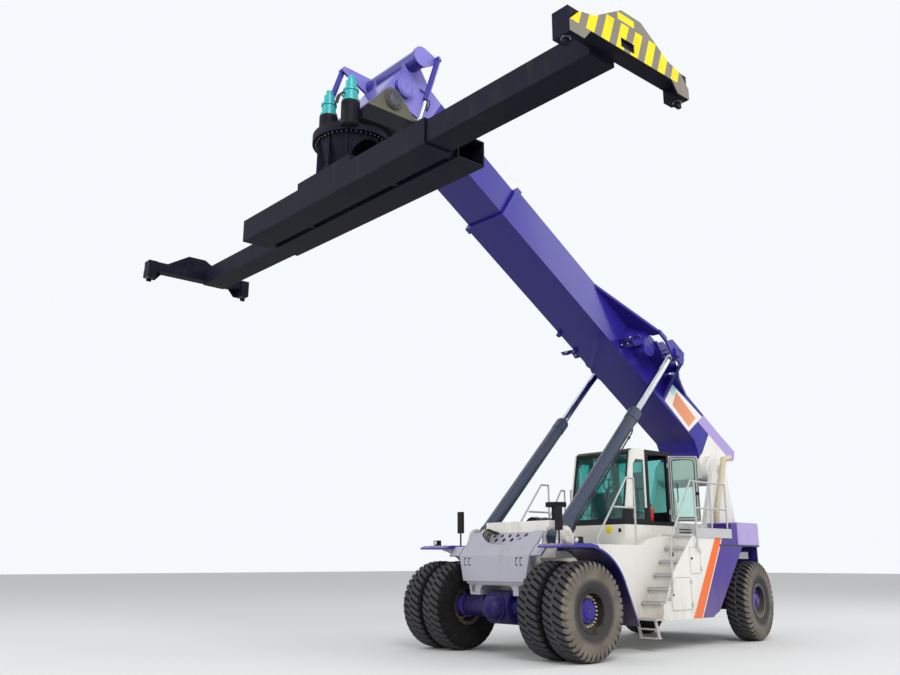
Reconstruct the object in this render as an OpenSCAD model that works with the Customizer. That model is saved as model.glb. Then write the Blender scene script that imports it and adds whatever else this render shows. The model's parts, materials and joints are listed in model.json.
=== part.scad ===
// Reach stacker: a four-by-two wheeled yard machine with a telescopic boom,
// two lift cylinders and a slewing spreader for 20 to 40 foot containers.
// X runs forward, Y to the left and Z up, in millimetres. Inside the modules
// x = 0 is the driving axle; at_origin() moves it all to the model's centre.

/* [Wheels] */
// Outer radius of every tyre, to the tips of the lugs
tyre_r = 825; // [800:1:850]
// Width of a tyre across its side walls
tyre_w = 494; // [470:1:510]
// Depth of a lug of the tread
lug_h = 46; // [40:1:50]
// Lugs in each of a tyre's two rows
lug_count = 20; // [16:1:22]
// Radius of the rim under the tyre's beads
bead_r = 322; // [312:1:330]
// Distance between the driving and the steered axle
wheelbase = 6000; // [5900:5:6200]
// Centre of the outer driving tyre from the machine's middle
twin_outer_y = 1830; // [1820:1:1880]
// Centre of the inner driving tyre from the machine's middle
twin_inner_y = 1255; // [1250:1:1275]
// Centre of a steered tyre from the machine's middle
steer_tyre_y = 1395; // [1390:1:1430]
// Kingpin from the machine's middle
king_y = 1100; // [1090:1:1110]
// Angle that the steered wheels stand at
steer_rest = 9; // [0:1:12]

/* [Boom] */
// Height of the boom's hinge pin
pivot_z = 3700; // [3690:1:3760]
// Hinge pin behind the steered axle
pivot_past = 200; // [150:5:250]
// Angle of the boom above level
boom_angle = 32.5; // [30:0.5:34]
// Length of the outer boom ahead of its hinge
outer_len = 8100; // [7900:10:8200]
// Half of the outer boom's width
outer_half = 525; // [515:1:535]
// Underside of the outer boom above the hinge line
outer_low = 290; // [270:1:300]
// Depth of the outer boom
outer_depth = 770; // [740:1:800]
// Wall of the boom sections
boom_wall = 32; // [20:1:36]
// Length of the inner boom section
inner_len = 7900; // [7700:10:7950]
// Hanging pin past the end of the inner boom, along the boom
head_reach = 873; // [850:1:900]
// Radius of the boom's hinge pin
pivot_pin_r = 100; // [80:1:120]

/* [Lift cylinders] */
// Cylinder from the machine's middle
lift_y = 1000; // [995:1:1005]
// Radius of a cylinder's barrel
barrel_r = 135; // [125:1:140]
// Radius of a cylinder's rod
lift_rod_r = 82; // [70:1:90]
// Length of a barrel from its base pin
barrel_len = 3590; // [3500:5:3650]
// Radius of the base pin
base_pin_r = 90; // [80:1:95]

/* [Head and spreader] */
// Pin that the spreader hangs from, ahead of the boom's hinge
hang_reach = 9620; // [9500:5:9700]
// Pin that the spreader hangs from, above the boom's hinge
hang_rise = 5880; // [5820:5:5940]
// Middle of the spreader ahead of the pin that it hangs from
spreader_lead = 300; // [280:1:320]
// Height of the spreader's underside
spreader_low = 7630; // [7600:1:7650]
// Depth of the spreader's beams
spreader_depth = 470; // [450:1:480]
// Half of the main frame's length
spreader_half = 2760; // [2600:5:2765]
// Outside face of an end beam past its twistlocks
end_past = 137.5; // [130:0.5:145]
// Half of an end beam's length
end_half = 1205; // [1190:1:1215]
// Distance between twistlocks along the spreader
lock_length = 11985; // [11980:1:11990]
// Distance between twistlocks across the spreader
lock_width = 2259; // [2255:1:2262]
// Outer radius of the slew ring
slew_r = 720; // [700:1:740]

/* [Cab] */
// Half of the cab's width
cab_half = 750; // [740:1:760]
// Height of the cab's floor
cab_low = 2370; // [2360:1:2390]
// Height of the cab's roof
cab_high = 3940; // [3900:1:3950]
// Thickness of the cab's walls
cab_wall = 60; // [50:1:65]
// Angle that the door stands open at
door_open = 140; // [120:1:145]

/* [Body] */
// Outside face of the side bodies from the middle
body_y = 1690; // [1680:1:1720]
// Height of the deck and the platforms
deck_z = 2130; // [2120:1:2140]
// Height that a step climbs
step_rise = 257; // [250:1:258]
// Depth of a step
step_going = 215; // [210:1:220]
// Thickness of the plates of the treads
tread_t = 35; // [25:1:40]
// Radius of the handrail tube
rail_r = 19; // [15:1:22]

/* [Hidden] */
$fn = 48;

fit_gap = 0.3;
run_gap = 6;

axle_z = tyre_r;
steer_x = -wheelbase;
pivot_x = steer_x - pivot_past;
hang_x = pivot_x + hang_reach;
hang_z = pivot_z + hang_rise;
hang_u = hang_reach * cos(boom_angle) + hang_rise * sin(boom_angle);
hang_v = -hang_reach * sin(boom_angle) + hang_rise * cos(boom_angle);
spreader_x = hang_x + spreader_lead;
lock_y = lock_length / 2;
lock_x = lock_width / 2;
end_y = lock_y + end_past;

// Boom's tail eye, which is the machine's rearmost point
tail_u = -950;
tail_v = 950;
tail_eye_r = 90;
rear_x = pivot_x + tail_u * cos(boom_angle) - tail_v * sin(boom_angle) - tail_eye_r;
front_x = spreader_x + end_half;
mid_x = (front_x + rear_x) / 2;

violet = [0.17, 0.13, 0.58];
white = [0.92, 0.92, 0.88];
nose_grey = [0.70, 0.69, 0.80];
plate_grey = [0.50, 0.48, 0.44];
navy = [0.08, 0.09, 0.16];
tyre_grey = [0.16, 0.16, 0.16];

// Helpers: slabs cut from an outline in a plane, and bars between points

module at_origin() {
    translate([-mid_x, 0, 0]) children();
}

module both_sides() {
    children();
    mirror([0, 1, 0]) children();
}

module on_side(s) {
    if (s > 0) children();
    else mirror([0, 1, 0]) children();
}

module slab_y(points, y0, y1) {
    translate([0, y1, 0]) rotate([90, 0, 0]) linear_extrude(y1 - y0) polygon(points);
}

module slab_x(points, x0, x1) {
    translate([x0, 0, 0]) rotate([90, 0, 90]) linear_extrude(x1 - x0) polygon(points);
}

module slab_z(points, z0, z1) {
    translate([0, 0, z0]) linear_extrude(z1 - z0) polygon(points);
}

module box(x0, x1, y0, y1, z0, z1) {
    translate([x0, y0, z0]) cube([x1 - x0, y1 - y0, z1 - z0]);
}

module bar(p, q, r) {
    d = q - p;
    len = norm(d);
    translate(p) rotate([0, acos(d[2] / len), atan2(d[1], d[0])]) cylinder(h = len, r = r);
}

module disc_y(x, z, r, y0, y1) {
    translate([x, y1, z]) rotate([90, 0, 0]) cylinder(h = y1 - y0, r = r);
}

module disc_x(y, z, r, x0, x1) {
    translate([x0, y, z]) rotate([0, 90, 0]) cylinder(h = x1 - x0, r = r);
}

module disc_z(x, y, r, z0, z1) {
    translate([x, y, z0]) cylinder(h = z1 - z0, r = r);
}

// A bent tube: straight runs with a ball a little larger at each bend
module pipe(points, r) {
    for (i = [0:len(points) - 2]) bar(points[i], points[i + 1], r);
    for (i = [1:len(points) - 2]) translate(points[i]) sphere(r = r * 1.08);
}

module in_boom() {
    translate([pivot_x, 0, pivot_z]) rotate([0, -boom_angle, 0]) children();
}

function arc(cx, cy, r, a0, a1, n) =
    [for (i = [0:n]) let (a = a0 + (a1 - a0) * i / n) [cx + r * cos(a), cy + r * sin(a)]];

function boom_point(u, v) = [
    pivot_x + u * cos(boom_angle) - v * sin(boom_angle),
    pivot_z + u * sin(boom_angle) + v * cos(boom_angle)
];

// Chassis

beam_in = 560;
beam_out = 800;
beam_low = 1300;
beam_high = 1700;
beam_front = 290;
beam_rear = steer_x + 1100;
rear_half = 400;
rear_low = 1150;
sill_high = 1850;
frame_rear = steer_x - 1000;
ballast_x = steer_x - 895;
sill_rear = ballast_x + fit_gap;
sill_half = 950;

base_x = -340;
base_z = 2070;
bracket_t = 40;
lane = barrel_r + 10 + run_gap;
bracket_r = 200;
pad_front = -60;
pad_rear = -740;

tower_in = 700;
tower_out = 800;
tower_r = 250;
tower_front = pivot_x + 950;
tower_rear = pivot_x - 650;

osc_z = axle_z + 130;
osc_pin_r = 70;
osc_plate_x = [steer_x + 310, steer_x - 250];
osc_plate_t = 60;

module lift_bracket_plate(y0, y1) {
    slab_y(concat(
        [[pad_rear + 20, sill_high]],
        arc(base_x, base_z, bracket_r, 165, 15, 10),
        [[pad_front - 20, sill_high]]), y0, y1);
}

module tower() {
    slab_y(concat(
        [[tower_rear, sill_high]],
        arc(pivot_x, pivot_z, tower_r, 165, 20, 10),
        [[tower_front, sill_high]]), tower_in, tower_out);
}

// Beam between the two pairs of lift brackets
module cross_beam() {
    half = lift_y - lane - bracket_t / 2;
    box(-540, -300, -half, half, 2175, 2375);
}

module chassis_frame() {
    color(white) at_origin() {
        both_sides() {
            box(beam_rear, beam_front, beam_in, beam_out, beam_low, beam_high);
            lift_bracket_plate(lift_y - lane - bracket_t, lift_y - lane);
            lift_bracket_plate(lift_y + lane, lift_y + lane + bracket_t);
            disc_y(base_x, base_z, base_pin_r, lift_y - lane - bracket_t, lift_y + lane + bracket_t + 30);
            disc_y(base_x, base_z, base_pin_r + 40, lift_y + lane + bracket_t, lift_y + lane + bracket_t + 20);
            tower();
        }
        box(pad_rear, pad_front, -lift_y - lane - bracket_t, lift_y + lane + bracket_t, beam_high, sill_high);
        box(beam_rear, beam_rear + 300, -beam_out, beam_out, rear_low, beam_high);
        box(frame_rear, beam_rear, -rear_half, rear_half, rear_low, beam_high);
        box(sill_rear, beam_rear + 100, -sill_half, sill_half, beam_high, sill_high);
        box(-1500, -1300, -beam_in, beam_in, beam_low + 40, beam_high);
        cross_beam();
        disc_y(pivot_x, pivot_z, pivot_pin_r, -tower_out - 20, tower_out + 20);
        for (x = osc_plate_x) {
            box(x - osc_plate_t, x, -200, 200, osc_z - 150, rear_low);
        }
        disc_x(0, osc_z, osc_pin_r, osc_plate_x[1] - osc_plate_t, osc_plate_x[0]);
    }
}

// Front nose: a tapered plate, a sloped one with a dip, the saddle over the axle

nose_x = 340;
nose_t = 40;
nose_low = 1285;
nose_bend = 1745;
nose_top_x = -50;
nose_top_z = 2185;
nose_half_low = 810;
nose_half_bend = 915;
nose_half_top = 940;
nose_lean = atan((nose_x - nose_top_x) / (nose_top_z - nose_bend));
nose_slope = norm([nose_x - nose_top_x, nose_top_z - nose_bend]);
dip_half = 700;
dip_deep = 330;
dip_r = (dip_half * dip_half + dip_deep * dip_deep) / (2 * dip_deep);
dip_edge = atan2(dip_r - dip_deep, dip_half);
saddle_low = 1040;
saddle_half = 750;
arch_half = 430;
arch_high = 1215;
saddle_x = 260;
vent_back = 180;
vent_half = 630;
vent_foot = 300;
vent_head = 735;
vent_r = 45;
// rows of vents, as [holes in the row, height up the slope]
vent_rows = [[5, 545], [6, 655]];

module hook_slots(y) {
    for (dy = [0, 110]) {
        box(nose_x - nose_t - 1, nose_x + 1, y + dy, y + dy + 25, 1560, 1710);
        for (z = [1560, 1680]) box(nose_x - nose_t - 1, nose_x + 1, y + dy, y + dy + 75, z, z + 30);
    }
}

module sloped() {
    translate([nose_x, 0, nose_bend]) rotate([0, -nose_lean, 0]) children();
}

module front_nose() {
    color(nose_grey) at_origin() {
        difference() {
            slab_x([
                [-nose_half_low, nose_low], [nose_half_low, nose_low],
                [nose_half_bend, nose_bend], [-nose_half_bend, nose_bend]], nose_x - nose_t, nose_x);
            hook_slots(570);
            hook_slots(-785);
        }
        sloped() difference() {
            slab_x([
                [-nose_half_bend, 0], [nose_half_bend, 0],
                [nose_half_top, nose_slope], [-nose_half_top, nose_slope]], -nose_t, 0);
            slab_x(concat(
                [[dip_half, nose_slope + 1]],
                arc(0, nose_slope + dip_r - dip_deep, dip_r, -dip_edge, dip_edge - 180, 16),
                [[-dip_half, nose_slope + 1]]), -nose_t - 1, 1);
        }
        // perforated plate behind the dip, on two gussets
        sloped() difference() {
            union() {
                box(-vent_back - 20, -vent_back, -vent_half, vent_half, vent_foot, vent_head);
                both_sides() box(-vent_back - 1, -nose_t, vent_half - 30, vent_half, vent_foot, 450);
            }
            for (row = vent_rows) for (i = [0:row[0] - 1])
                disc_x((i - (row[0] - 1) / 2) * 210, row[1], vent_r, -vent_back - 21, -vent_back + 1);
        }
        both_sides() slab_y([
            [nose_x - nose_t, nose_low + 20], [nose_x - nose_t, nose_bend],
            [60, 2005], [nose_x - 300, beam_high]], beam_out, beam_out + 30);
        // saddle over the axle
        difference() {
            slab_x(concat(
                [[saddle_half, beam_low], [-saddle_half, beam_low],
                 [-saddle_half + 60, saddle_low], [-arch_half, saddle_low]],
                arc(-arch_half + 110, arch_high - 110, 110, 180, 90, 5),
                arc(arch_half - 110, arch_high - 110, 110, 90, 0, 5),
                [[arch_half, saddle_low], [saddle_half - 60, saddle_low]]), -saddle_x, saddle_x);
            both_sides() box(saddle_x - 60, saddle_x + 1, 560, 660, saddle_low + 50, saddle_low + 170);
        }
        box(saddle_x, nose_x - nose_t, -saddle_half, saddle_half, nose_low + 15 - 60, beam_low);
    }
}

// Side bodies, front arches and rear fenders

panel_y = 1200;
arch_r = 1045;
arch_sheet = 35;
body_low = 560;
step_x = -2430;
step_z = 890;
step_nose = 60;
step_count = 5;
stripe_foot = [steer_x + 2260, body_low];
stripe_head = [steer_x + 1360, deck_z];
body_in = beam_out;
panel_top = 1950;
// rear edge of the body, as [ahead of the steered axle, height]
rear_edge = [for (p = [[710, 2420], [580, 1940], [820, 1650], [1620, 670], [1770, 610], [1850, body_low]])
    [steer_x + p[0], p[1]]];

function step_front(i) = step_x - step_going * i;
function step_top(i) = step_z + step_rise * i;
riser_tops = [for (i = [0:step_count - 1])
    each [[step_front(i) - step_nose, step_top(i) - tread_t - (i == 0 ? step_top(0) - tread_t - body_low : step_rise)],
          [step_front(i) - step_nose, step_top(i) - tread_t]]];

// Plate over the ends of the steps, and the outlines of the two doors in the tank's face
stringer_t = 20;
tank_doors = [
    [[-3430, 720], [-2740, 720], [-2740, 1130], [-2900, 1352], [-3430, 1352]],
    [[-3810, 1400], [-3430, 1400], [-3430, 1930], [-3810, 1930]]];

module side_bodies() {
    color(white) at_origin() both_sides() {
        // inner tank behind the wheel arch
        slab_y(concat(
            [[pad_rear - 260, panel_top]],
            [[pad_rear - 260, axle_z + sqrt(arch_r * arch_r - pow(pad_rear - 260, 2)) ]],
            arc(0, axle_z, arch_r, 163.5, 170, 3),
            [[-1290, body_low], stripe_foot, stripe_head,
             [-3100, deck_z], [-2760, 2060], [-2540, panel_top]]),
            body_in, panel_y);
        // outer tank, whose front is the staircase
        slab_y(concat(riser_tops,
            [[step_front(step_count) - step_nose, step_top(step_count - 1) - tread_t],
             [step_front(step_count) - step_nose, deck_z],
             stripe_head, stripe_foot]), panel_y, body_y);
        // plate over the outer ends of the steps
        slab_y([[step_x - 20, body_low + 40], [step_x - 183, step_z + 57],
            [step_front(2) + 48, step_top(2) - 31], [step_front(step_count) - step_nose, deck_z - 5],
            [stripe_foot[0] + 100, deck_z - 5], [stripe_foot[0] + 100, body_low + 40]],
            body_y - stringer_t, body_y);
        for (d = tank_doors) slab_y(d, body_y - 1, body_y + 7);
        // deck between the side body and the cab's base
        box(hood_front + fit_gap, pad_rear - 260, beam_in, body_in, beam_high, panel_top);
    }
}

module cab_base() {
    color(white) at_origin() slab_x([
        [-beam_in + fit_gap, beam_high], [beam_in - fit_gap, beam_high],
        [beam_in - fit_gap, panel_top], [cab_half, panel_top], [cab_half, cab_low],
        [-cab_half, cab_low], [-cab_half, panel_top], [-beam_in + fit_gap, panel_top]],
        cab_rear, cab_front_low);
}

fender_half = 2000;
fender_high = 1940;
fender_low = 1870;

module front_fenders() {
    color(violet) at_origin() both_sides() {
        slab_y(concat(
            [[420, fender_low], [420, fender_low + 30], [330, fender_high]],
            [[-60, fender_high], [-250, fender_high - 30]],
            arc(0, axle_z, arch_r + arch_sheet, 106, 158, 12),
            [[-1325, body_low - 30], [-1292, body_low - 30]],
            arc(0, axle_z, arch_r + fit_gap, 158, 100, 12),
            [[-150, fender_low]]), panel_y + fit_gap, fender_half);
        // plate between the fender and the nose
        sloped() box(-25, 0, nose_half_bend + 30, panel_y + 10, 0, 232);
        // inner shelf that carries the arch on the frame's pad
        box(pad_rear + 30, pad_front - 30, lift_y + lane + bracket_t, panel_y + fit_gap, sill_high - 30, sill_high + 30);
    }
}

rear_half_y = 1640;
cover_front = steer_x + 710;
cover_bend = steer_x - 200;
cover_rear = steer_x - 800;
rear_top = 2450;
rear_lip = 1950;

module rear_fenders() {
    color(violet) at_origin() both_sides() {
        slab_y(concat(
            [stripe_foot, stripe_head, [platform_rear - 10, deck_z], [platform_rear - 10, rear_top - 30]],
            rear_edge),
            panel_y, body_y);
        // cover above the steered wheel
        difference() {
            slab_z([
                [cover_front, sill_half], [cover_front, body_y],
                [cover_bend, rear_half_y], [cover_rear, 1250],
                [ballast_x + fit_gap, 1150], [ballast_x + fit_gap, sill_half]], rear_lip, rear_top);
            slab_z([
                [cover_front - 70, sill_half + 50], [cover_front - 150, body_y - 80],
                [cover_bend + 20, rear_half_y - 80], [cover_rear + 60, 1220],
                [cover_rear, 1150], [cover_rear, sill_half + 50]], rear_lip - 1, rear_top - 120);
        }
    }
}

tail_x = steer_x - 1300;
tail_corner_x = steer_x - 1090;
ballast_low = 620;
swing_r = norm([tyre_r, steer_tyre_y + tyre_w / 2 - king_y]) + 25;
jaw_half = 170;
jaw_low = 820;
jaw_high = 960;
tow_pin_r = 26;

module counterweight() {
    color(violet) at_origin() {
        difference() {
            slab_z([
                [ballast_x, -1150], [ballast_x, 1150], [tail_corner_x, 1080], [tail_x, 880],
                [tail_x, -880], [tail_corner_x, -1080]], ballast_low, rear_top);
            box(frame_rear - fit_gap, ballast_x + 1, -rear_half - fit_gap, rear_half + fit_gap,
                rear_low - fit_gap, beam_high + fit_gap);
            // room for the steered wheels to turn
            both_sides() disc_z(steer_x, king_y, swing_r, ballast_low - 1, rear_lip);
            // recess across the back
            box(tail_x - 1, tail_x + 30, -620, 620, 1250, 2150);
            // towing jaw with its pin hole
            box(tail_x - 1, tail_x + 140, -jaw_half, jaw_half, jaw_low, jaw_high);
            disc_z(tail_x + 70, 0, tow_pin_r, ballast_low - 1, jaw_high + 120);
        }
        // rear lamps
        both_sides() box(tail_x - 18, tail_x + 1, 660, 800, 1900, 2040);
    }
}

hood_half = 690;
hood_front = -4480;
hood_rear = steer_x - 880;
hood_wall = 30;
louvre_x = [steer_x + 1150, steer_x + 550, steer_x - 500];

module hood() {
    color(white) at_origin() difference() {
        box(hood_rear, hood_front, -hood_half, hood_half, sill_high, rear_top);
        box(hood_rear + hood_wall, hood_front - hood_wall, -hood_half + hood_wall, hood_half - hood_wall,
            sill_high - 1, rear_top - hood_wall);
        for (i = [0:6]) box(hood_rear - 1, hood_rear + hood_wall + 1, -450, 450, 1950 + i * 60, 1975 + i * 60);
        for (x = louvre_x) both_sides() for (i = [0:5])
            box(x - 230, x + 230, hood_half - hood_wall - 1, hood_half + 1, 2000 + i * 60, 2025 + i * 60);
        for (i = [0:7]) box(steer_x - 700 + i * 90, steer_x - 660 + i * 90, -380, 380, rear_top - hood_wall - 1, rear_top + 1);
    }
}

module engine_block() {
    color("dimgray") at_origin() box(steer_x, steer_x + 1100, -420, 420, sill_high, 2300);
}

// Steps, platforms and rails

ladder_drop = 330;
platform_front = step_front(step_count);
platform_rear = steer_x + 990;

module steps() {
    color("gainsboro") at_origin() both_sides() {
        for (i = [0:step_count - 1])
            box(step_front(i + 1) - step_nose, step_front(i), panel_y, body_y - stringer_t - fit_gap,
                step_top(i) - tread_t, step_top(i));
        // platform with its kick plate
        box(platform_rear, platform_front, panel_y - 180, body_y, deck_z, deck_z + 45);
        box(platform_rear, platform_front - 200, body_y, body_y + 20, deck_z - 20, deck_z + 170);
        // lowest step and the folding ladder under it
        box(step_front(0) - step_nose, step_front(-1), panel_y, body_y, 565, 600);
        for (y = [panel_y + 20, body_y - 60]) {
            slab_y([[step_front(-1) - 20, 565], [step_front(-1) - 80, 565],
                [step_front(-1) - 180, 235], [step_front(-1) - 120, 235]], y, y + 30);
        }
        box(step_front(-1) - 240, step_front(-1) - 60, panel_y + 50, body_y - 60, 235, 260);
        box(step_front(-1) - 190, step_front(-1) - 60, panel_y + 50, body_y - 60, 395, 420);
    }
}

rail_y = body_y - 40;
stair_rail_y = body_y + rail_r + 25;
rail_high = deck_z + 1100;
rail_front = platform_front - 295;
rail_rear = platform_rear + 50;
stair_clips = [[-2650, 930], [-2750, 1200], [-3680, deck_z - 180]];

module handrails() {
    color("gainsboro") at_origin() both_sides() {
        // beside the front of the steps
        pipe([[-1290, panel_y - 60, panel_top], [-1290, panel_y - 60, panel_top + 120], [-2250, panel_y - 60, 3250], [-2480, panel_y - 60, 3250],
              [-2480, panel_y - 60, panel_top]], rail_r);
        bar([-1850, panel_y - 60, 2666], [-2480, panel_y - 60, 2666], rail_r);
        // from the second step up to the platform
        pipe([[-2630, stair_rail_y, step_z + 40], [-2740, stair_rail_y, 1060],
              [-2770, stair_rail_y, 2050], [-3560, stair_rail_y, rail_high],
              [-3680, stair_rail_y, rail_high], [-3680, stair_rail_y, deck_z - 300]], rail_r);
        // round the platform
        pipe([[rail_front, rail_y, deck_z + 45], [rail_front, rail_y, rail_high],
              [rail_rear, rail_y, rail_high], [rail_rear, rail_y, deck_z + 45]], rail_r);
        bar([rail_front, rail_y, deck_z + 570], [rail_rear, rail_y, deck_z + 570], rail_r);
        rail_mid = (rail_front + rail_rear) / 2;
        bar([rail_mid, rail_y, deck_z + 45], [rail_mid, rail_y, rail_high], rail_r);
        // clips that hold the stair rail off the tank
        for (c = stair_clips)
            box(c[0] - 15, c[0] + 15, body_y + fit_gap, stair_rail_y, c[1], c[1] + 40);
    }
}

// Axles and wheels

housing_r = 190;
spindle_r = 110;
spindle_end = 1400;
hub_in = 1020;
pad_half = 180;

module drive_axle() {
    color(violet) at_origin() {
        both_sides() {
            disc_y(0, axle_z, housing_r, 0, hub_in - run_gap);
            box(-pad_half, pad_half, arch_half + 10, saddle_half - 70, axle_z - 60, saddle_low);
            disc_y(0, axle_z, spindle_r, hub_in - run_gap, spindle_end);
        }
        disc_y(0, axle_z, 300, -310, 310);
        disc_x(0, axle_z, 265, -370, 330);
        translate([330, 0, axle_z]) intersection() {
            sphere(r = 220);
            box(0, 230, -230, 230, -230, 230);
        }
    }
}

tyre_half = tyre_w / 2;
bead_half = tyre_half - 52;

function tyre_side() = [
    [bead_r, bead_half], [bead_r + 60, bead_half], [bead_r + 150, tyre_half - 4],
    [tyre_r - 220, tyre_half], [tyre_r - 110, tyre_half - 14], [tyre_r - lug_h, tyre_half - 62]];

// Lug seen from outside, as [round the tyre, across it]; its far corners reach tyre_r
lug_reach = 130;
lug_w = 120;
lug_end = tyre_half - 24;
lug_outline = [[lug_reach, -12], [lug_reach - lug_w, -12], [-lug_reach, lug_end], [lug_w - lug_reach, lug_end]];
lug_flat = sqrt(tyre_r * tyre_r - lug_reach * lug_reach);
lug_pitch = 360 / lug_count;
lug_first = atan(lug_reach / lug_flat);
lug_second = lug_pitch / 2 - lug_first + 2 * atan((lug_reach - lug_w / 2) / lug_flat);

module lug_row(start) {
    for (i = [0:lug_count - 1]) rotate([0, start + i * lug_pitch, 0])
        slab_z(lug_outline, -lug_flat, -tyre_r + 140);
}

module tyre() {
    side_points = tyre_side();
    n = len(side_points);
    rotate([90, 0, 0]) rotate_extrude() polygon(concat(
        side_points,
        [for (i = [n - 1:-1:0]) [side_points[i][0], -side_points[i][1]]]));
    lug_row(lug_first);
    rotate([0, 0, 180]) lug_row(lug_second);
}

module rim_ring() {
    rotate([90, 0, 0]) rotate_extrude() polygon([
        [bead_r - 22, -bead_half - 16], [bead_r + 40, -bead_half - 16], [bead_r + 40, -bead_half - fit_gap],
        [bead_r - fit_gap, -bead_half - fit_gap], [bead_r - fit_gap, bead_half + fit_gap],
        [bead_r + 40, bead_half + fit_gap], [bead_r + 40, bead_half + 16], [bead_r - 22, bead_half + 16]]);
}

module drive_tyres(s) {
    color(tyre_grey) at_origin() on_side(s)
        for (y = [twin_inner_y, twin_outer_y]) translate([0, y, axle_z]) tyre();
}

hub_r = 215;
hub_out = twin_outer_y + 90;
stud_ring_r = 290;

// Hub turned from [radius, way out], with its flange for the studs and a stepped dome
module hub_dome(r, flange_r, y_in, y_flange, y_out) {
    translate([0, y_in, 0]) rotate([-90, 0, 0]) rotate_extrude() polygon([
        [0, 0], [r, 0], [r, y_flange - y_in - 30], [flange_r, y_flange - y_in - 30], [flange_r, y_flange - y_in],
        [r, y_flange - y_in], [r, y_out - y_in - 70], [r - 25, y_out - y_in - 35],
        [r * 0.65, y_out - y_in - 20], [r * 0.6, y_out - y_in], [0, y_out - y_in]]);
}

module drive_rims(s) {
    color(violet) at_origin() on_side(s) difference() {
        union() {
            for (y = [twin_inner_y, twin_outer_y]) translate([0, y, axle_z]) rim_ring();
            disc_y(0, axle_z, bead_r - 10, twin_outer_y - 60, twin_outer_y - 30);
            disc_y(0, axle_z, bead_r - 10, twin_inner_y + 60, twin_inner_y + 90);
            translate([0, 0, axle_z]) hub_dome(hub_r, stud_ring_r, hub_in, twin_outer_y - 12, hub_out + 50);
        }
        disc_y(0, axle_z, spindle_r + fit_gap, hub_in - 1, spindle_end + run_gap);
    }
}

knuckle_r = 85;
king_pin_r = 45;
yoke_gap = 130;
yoke_t = 70;
steer_beam = 180;
stub_r = 75;
steer_hub_in = 1240;

module steer_axle() {
    color(violet) at_origin() difference() {
        union() {
            box(steer_x - steer_beam, steer_x + steer_beam, -820, 820, axle_z - 200, axle_z + 200);
            both_sides() for (z = [axle_z - yoke_gap - yoke_t, axle_z + yoke_gap]) {
                box(steer_x - 90, steer_x + 90, 820, king_y, z, z + yoke_t);
                disc_z(steer_x, king_y, 90, z, z + yoke_t);
            }
            both_sides() disc_z(steer_x, king_y, king_pin_r, axle_z - yoke_gap - yoke_t, axle_z + yoke_gap + yoke_t);
        }
        disc_x(0, osc_z, osc_pin_r + fit_gap, steer_x - 300, steer_x + 300);
    }
}

module steered(s) {
    on_side(s) translate([steer_x, king_y, axle_z]) rotate([0, 0, s * steer_rest])
        translate([-steer_x, -king_y, -axle_z]) children();
}

module knuckle(s) {
    color(violet) at_origin() steered(s) difference() {
        union() {
            disc_z(steer_x, king_y, knuckle_r, axle_z - yoke_gap + run_gap, axle_z + yoke_gap - run_gap);
            disc_y(steer_x, axle_z, stub_r, king_y, steer_hub_in + 200);
            box(steer_x - 60, steer_x + 230, king_y - 40, king_y + 40, axle_z - 40, axle_z + 40);
        }
        disc_z(steer_x, king_y, king_pin_r + fit_gap, axle_z - 300, axle_z + 300);
    }
}

module steer_tyre(s) {
    color(tyre_grey) at_origin() steered(s) translate([steer_x, steer_tyre_y, axle_z]) tyre();
}

module steer_rim(s) {
    color(violet) at_origin() steered(s) difference() {
        union() {
            translate([steer_x, steer_tyre_y, axle_z]) rim_ring();
            disc_y(steer_x, axle_z, bead_r - 10, steer_tyre_y + 60, steer_tyre_y + 90);
            translate([steer_x, 0, axle_z])
                hub_dome(150, 240, steer_hub_in, steer_tyre_y + 108, steer_tyre_y + 175);
        }
        disc_y(steer_x, axle_z, stub_r + fit_gap, steer_hub_in - 1, steer_hub_in + 200 + run_gap);
    }
}

// Cab

cab_front_low = -2660;
cab_front_high = -2950;
cab_rear = -4380;
door_x = -4190;
door_y = cab_half + 25;
door_width = 650;
door_low = cab_low + 90;
door_top = cab_high - 90;
door_t = 40;
roof_t = 70;

function cab_outline(d) = [
    [cab_front_low - d, cab_low + d], [cab_front_high - d, cab_high - 60],
    [cab_front_high - 90, cab_high - d], [cab_rear + d, cab_high - d], [cab_rear + d, cab_low + d]];

cab_lean = atan((cab_front_low - cab_front_high) / (cab_high - 60 - cab_low));

function front_at(z) = cab_front_low - (z - cab_low) * tan(cab_lean);

side_window = [
    [-2930, cab_low + 120], [-3010, cab_high - 330], [-3110, cab_high - 220],
    [-3380, cab_high - 220], [-3380, cab_low + 120]];
rear_window_z = [cab_low + 300, cab_high - 130];
window_half = cab_half - 90;

module cab_shell() {
    color([0.2, 0.2, 0.22]) at_origin() difference() {
        slab_y(cab_outline(0), -cab_half, cab_half);
        slab_y(cab_outline(cab_wall), -cab_half + cab_wall, cab_half - cab_wall);
        // front, side, rear and roof windows
        slab_x([[-window_half, cab_low + 120], [window_half, cab_low + 120],
            [window_half, cab_high - 130], [-window_half, cab_high - 130]], cab_front_high - 200, 0);
        slab_y(side_window, cab_half - cab_wall - 1, cab_half + 1);
        slab_y(side_window, -cab_half - 1, -cab_half + cab_wall + 1);
        box(-4190, -3500, -cab_half - 1, -cab_half + cab_wall + 1, cab_low + 120, cab_high - 130);
        box(cab_rear - 1, cab_rear + cab_wall + 1, -window_half, window_half, rear_window_z[0], rear_window_z[1]);
        box(-3950, -3250, -window_half + 100, window_half - 100, cab_high - cab_wall - 1, cab_high + 1);
        // doorway on the left
        box(door_x - 5, door_x + door_width + run_gap, cab_half - cab_wall - 1, cab_half + 1,
            door_low - run_gap, door_top + run_gap);
    }
    color([0.2, 0.2, 0.22]) at_origin() door_pins();
}

glass_t = 12;

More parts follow.
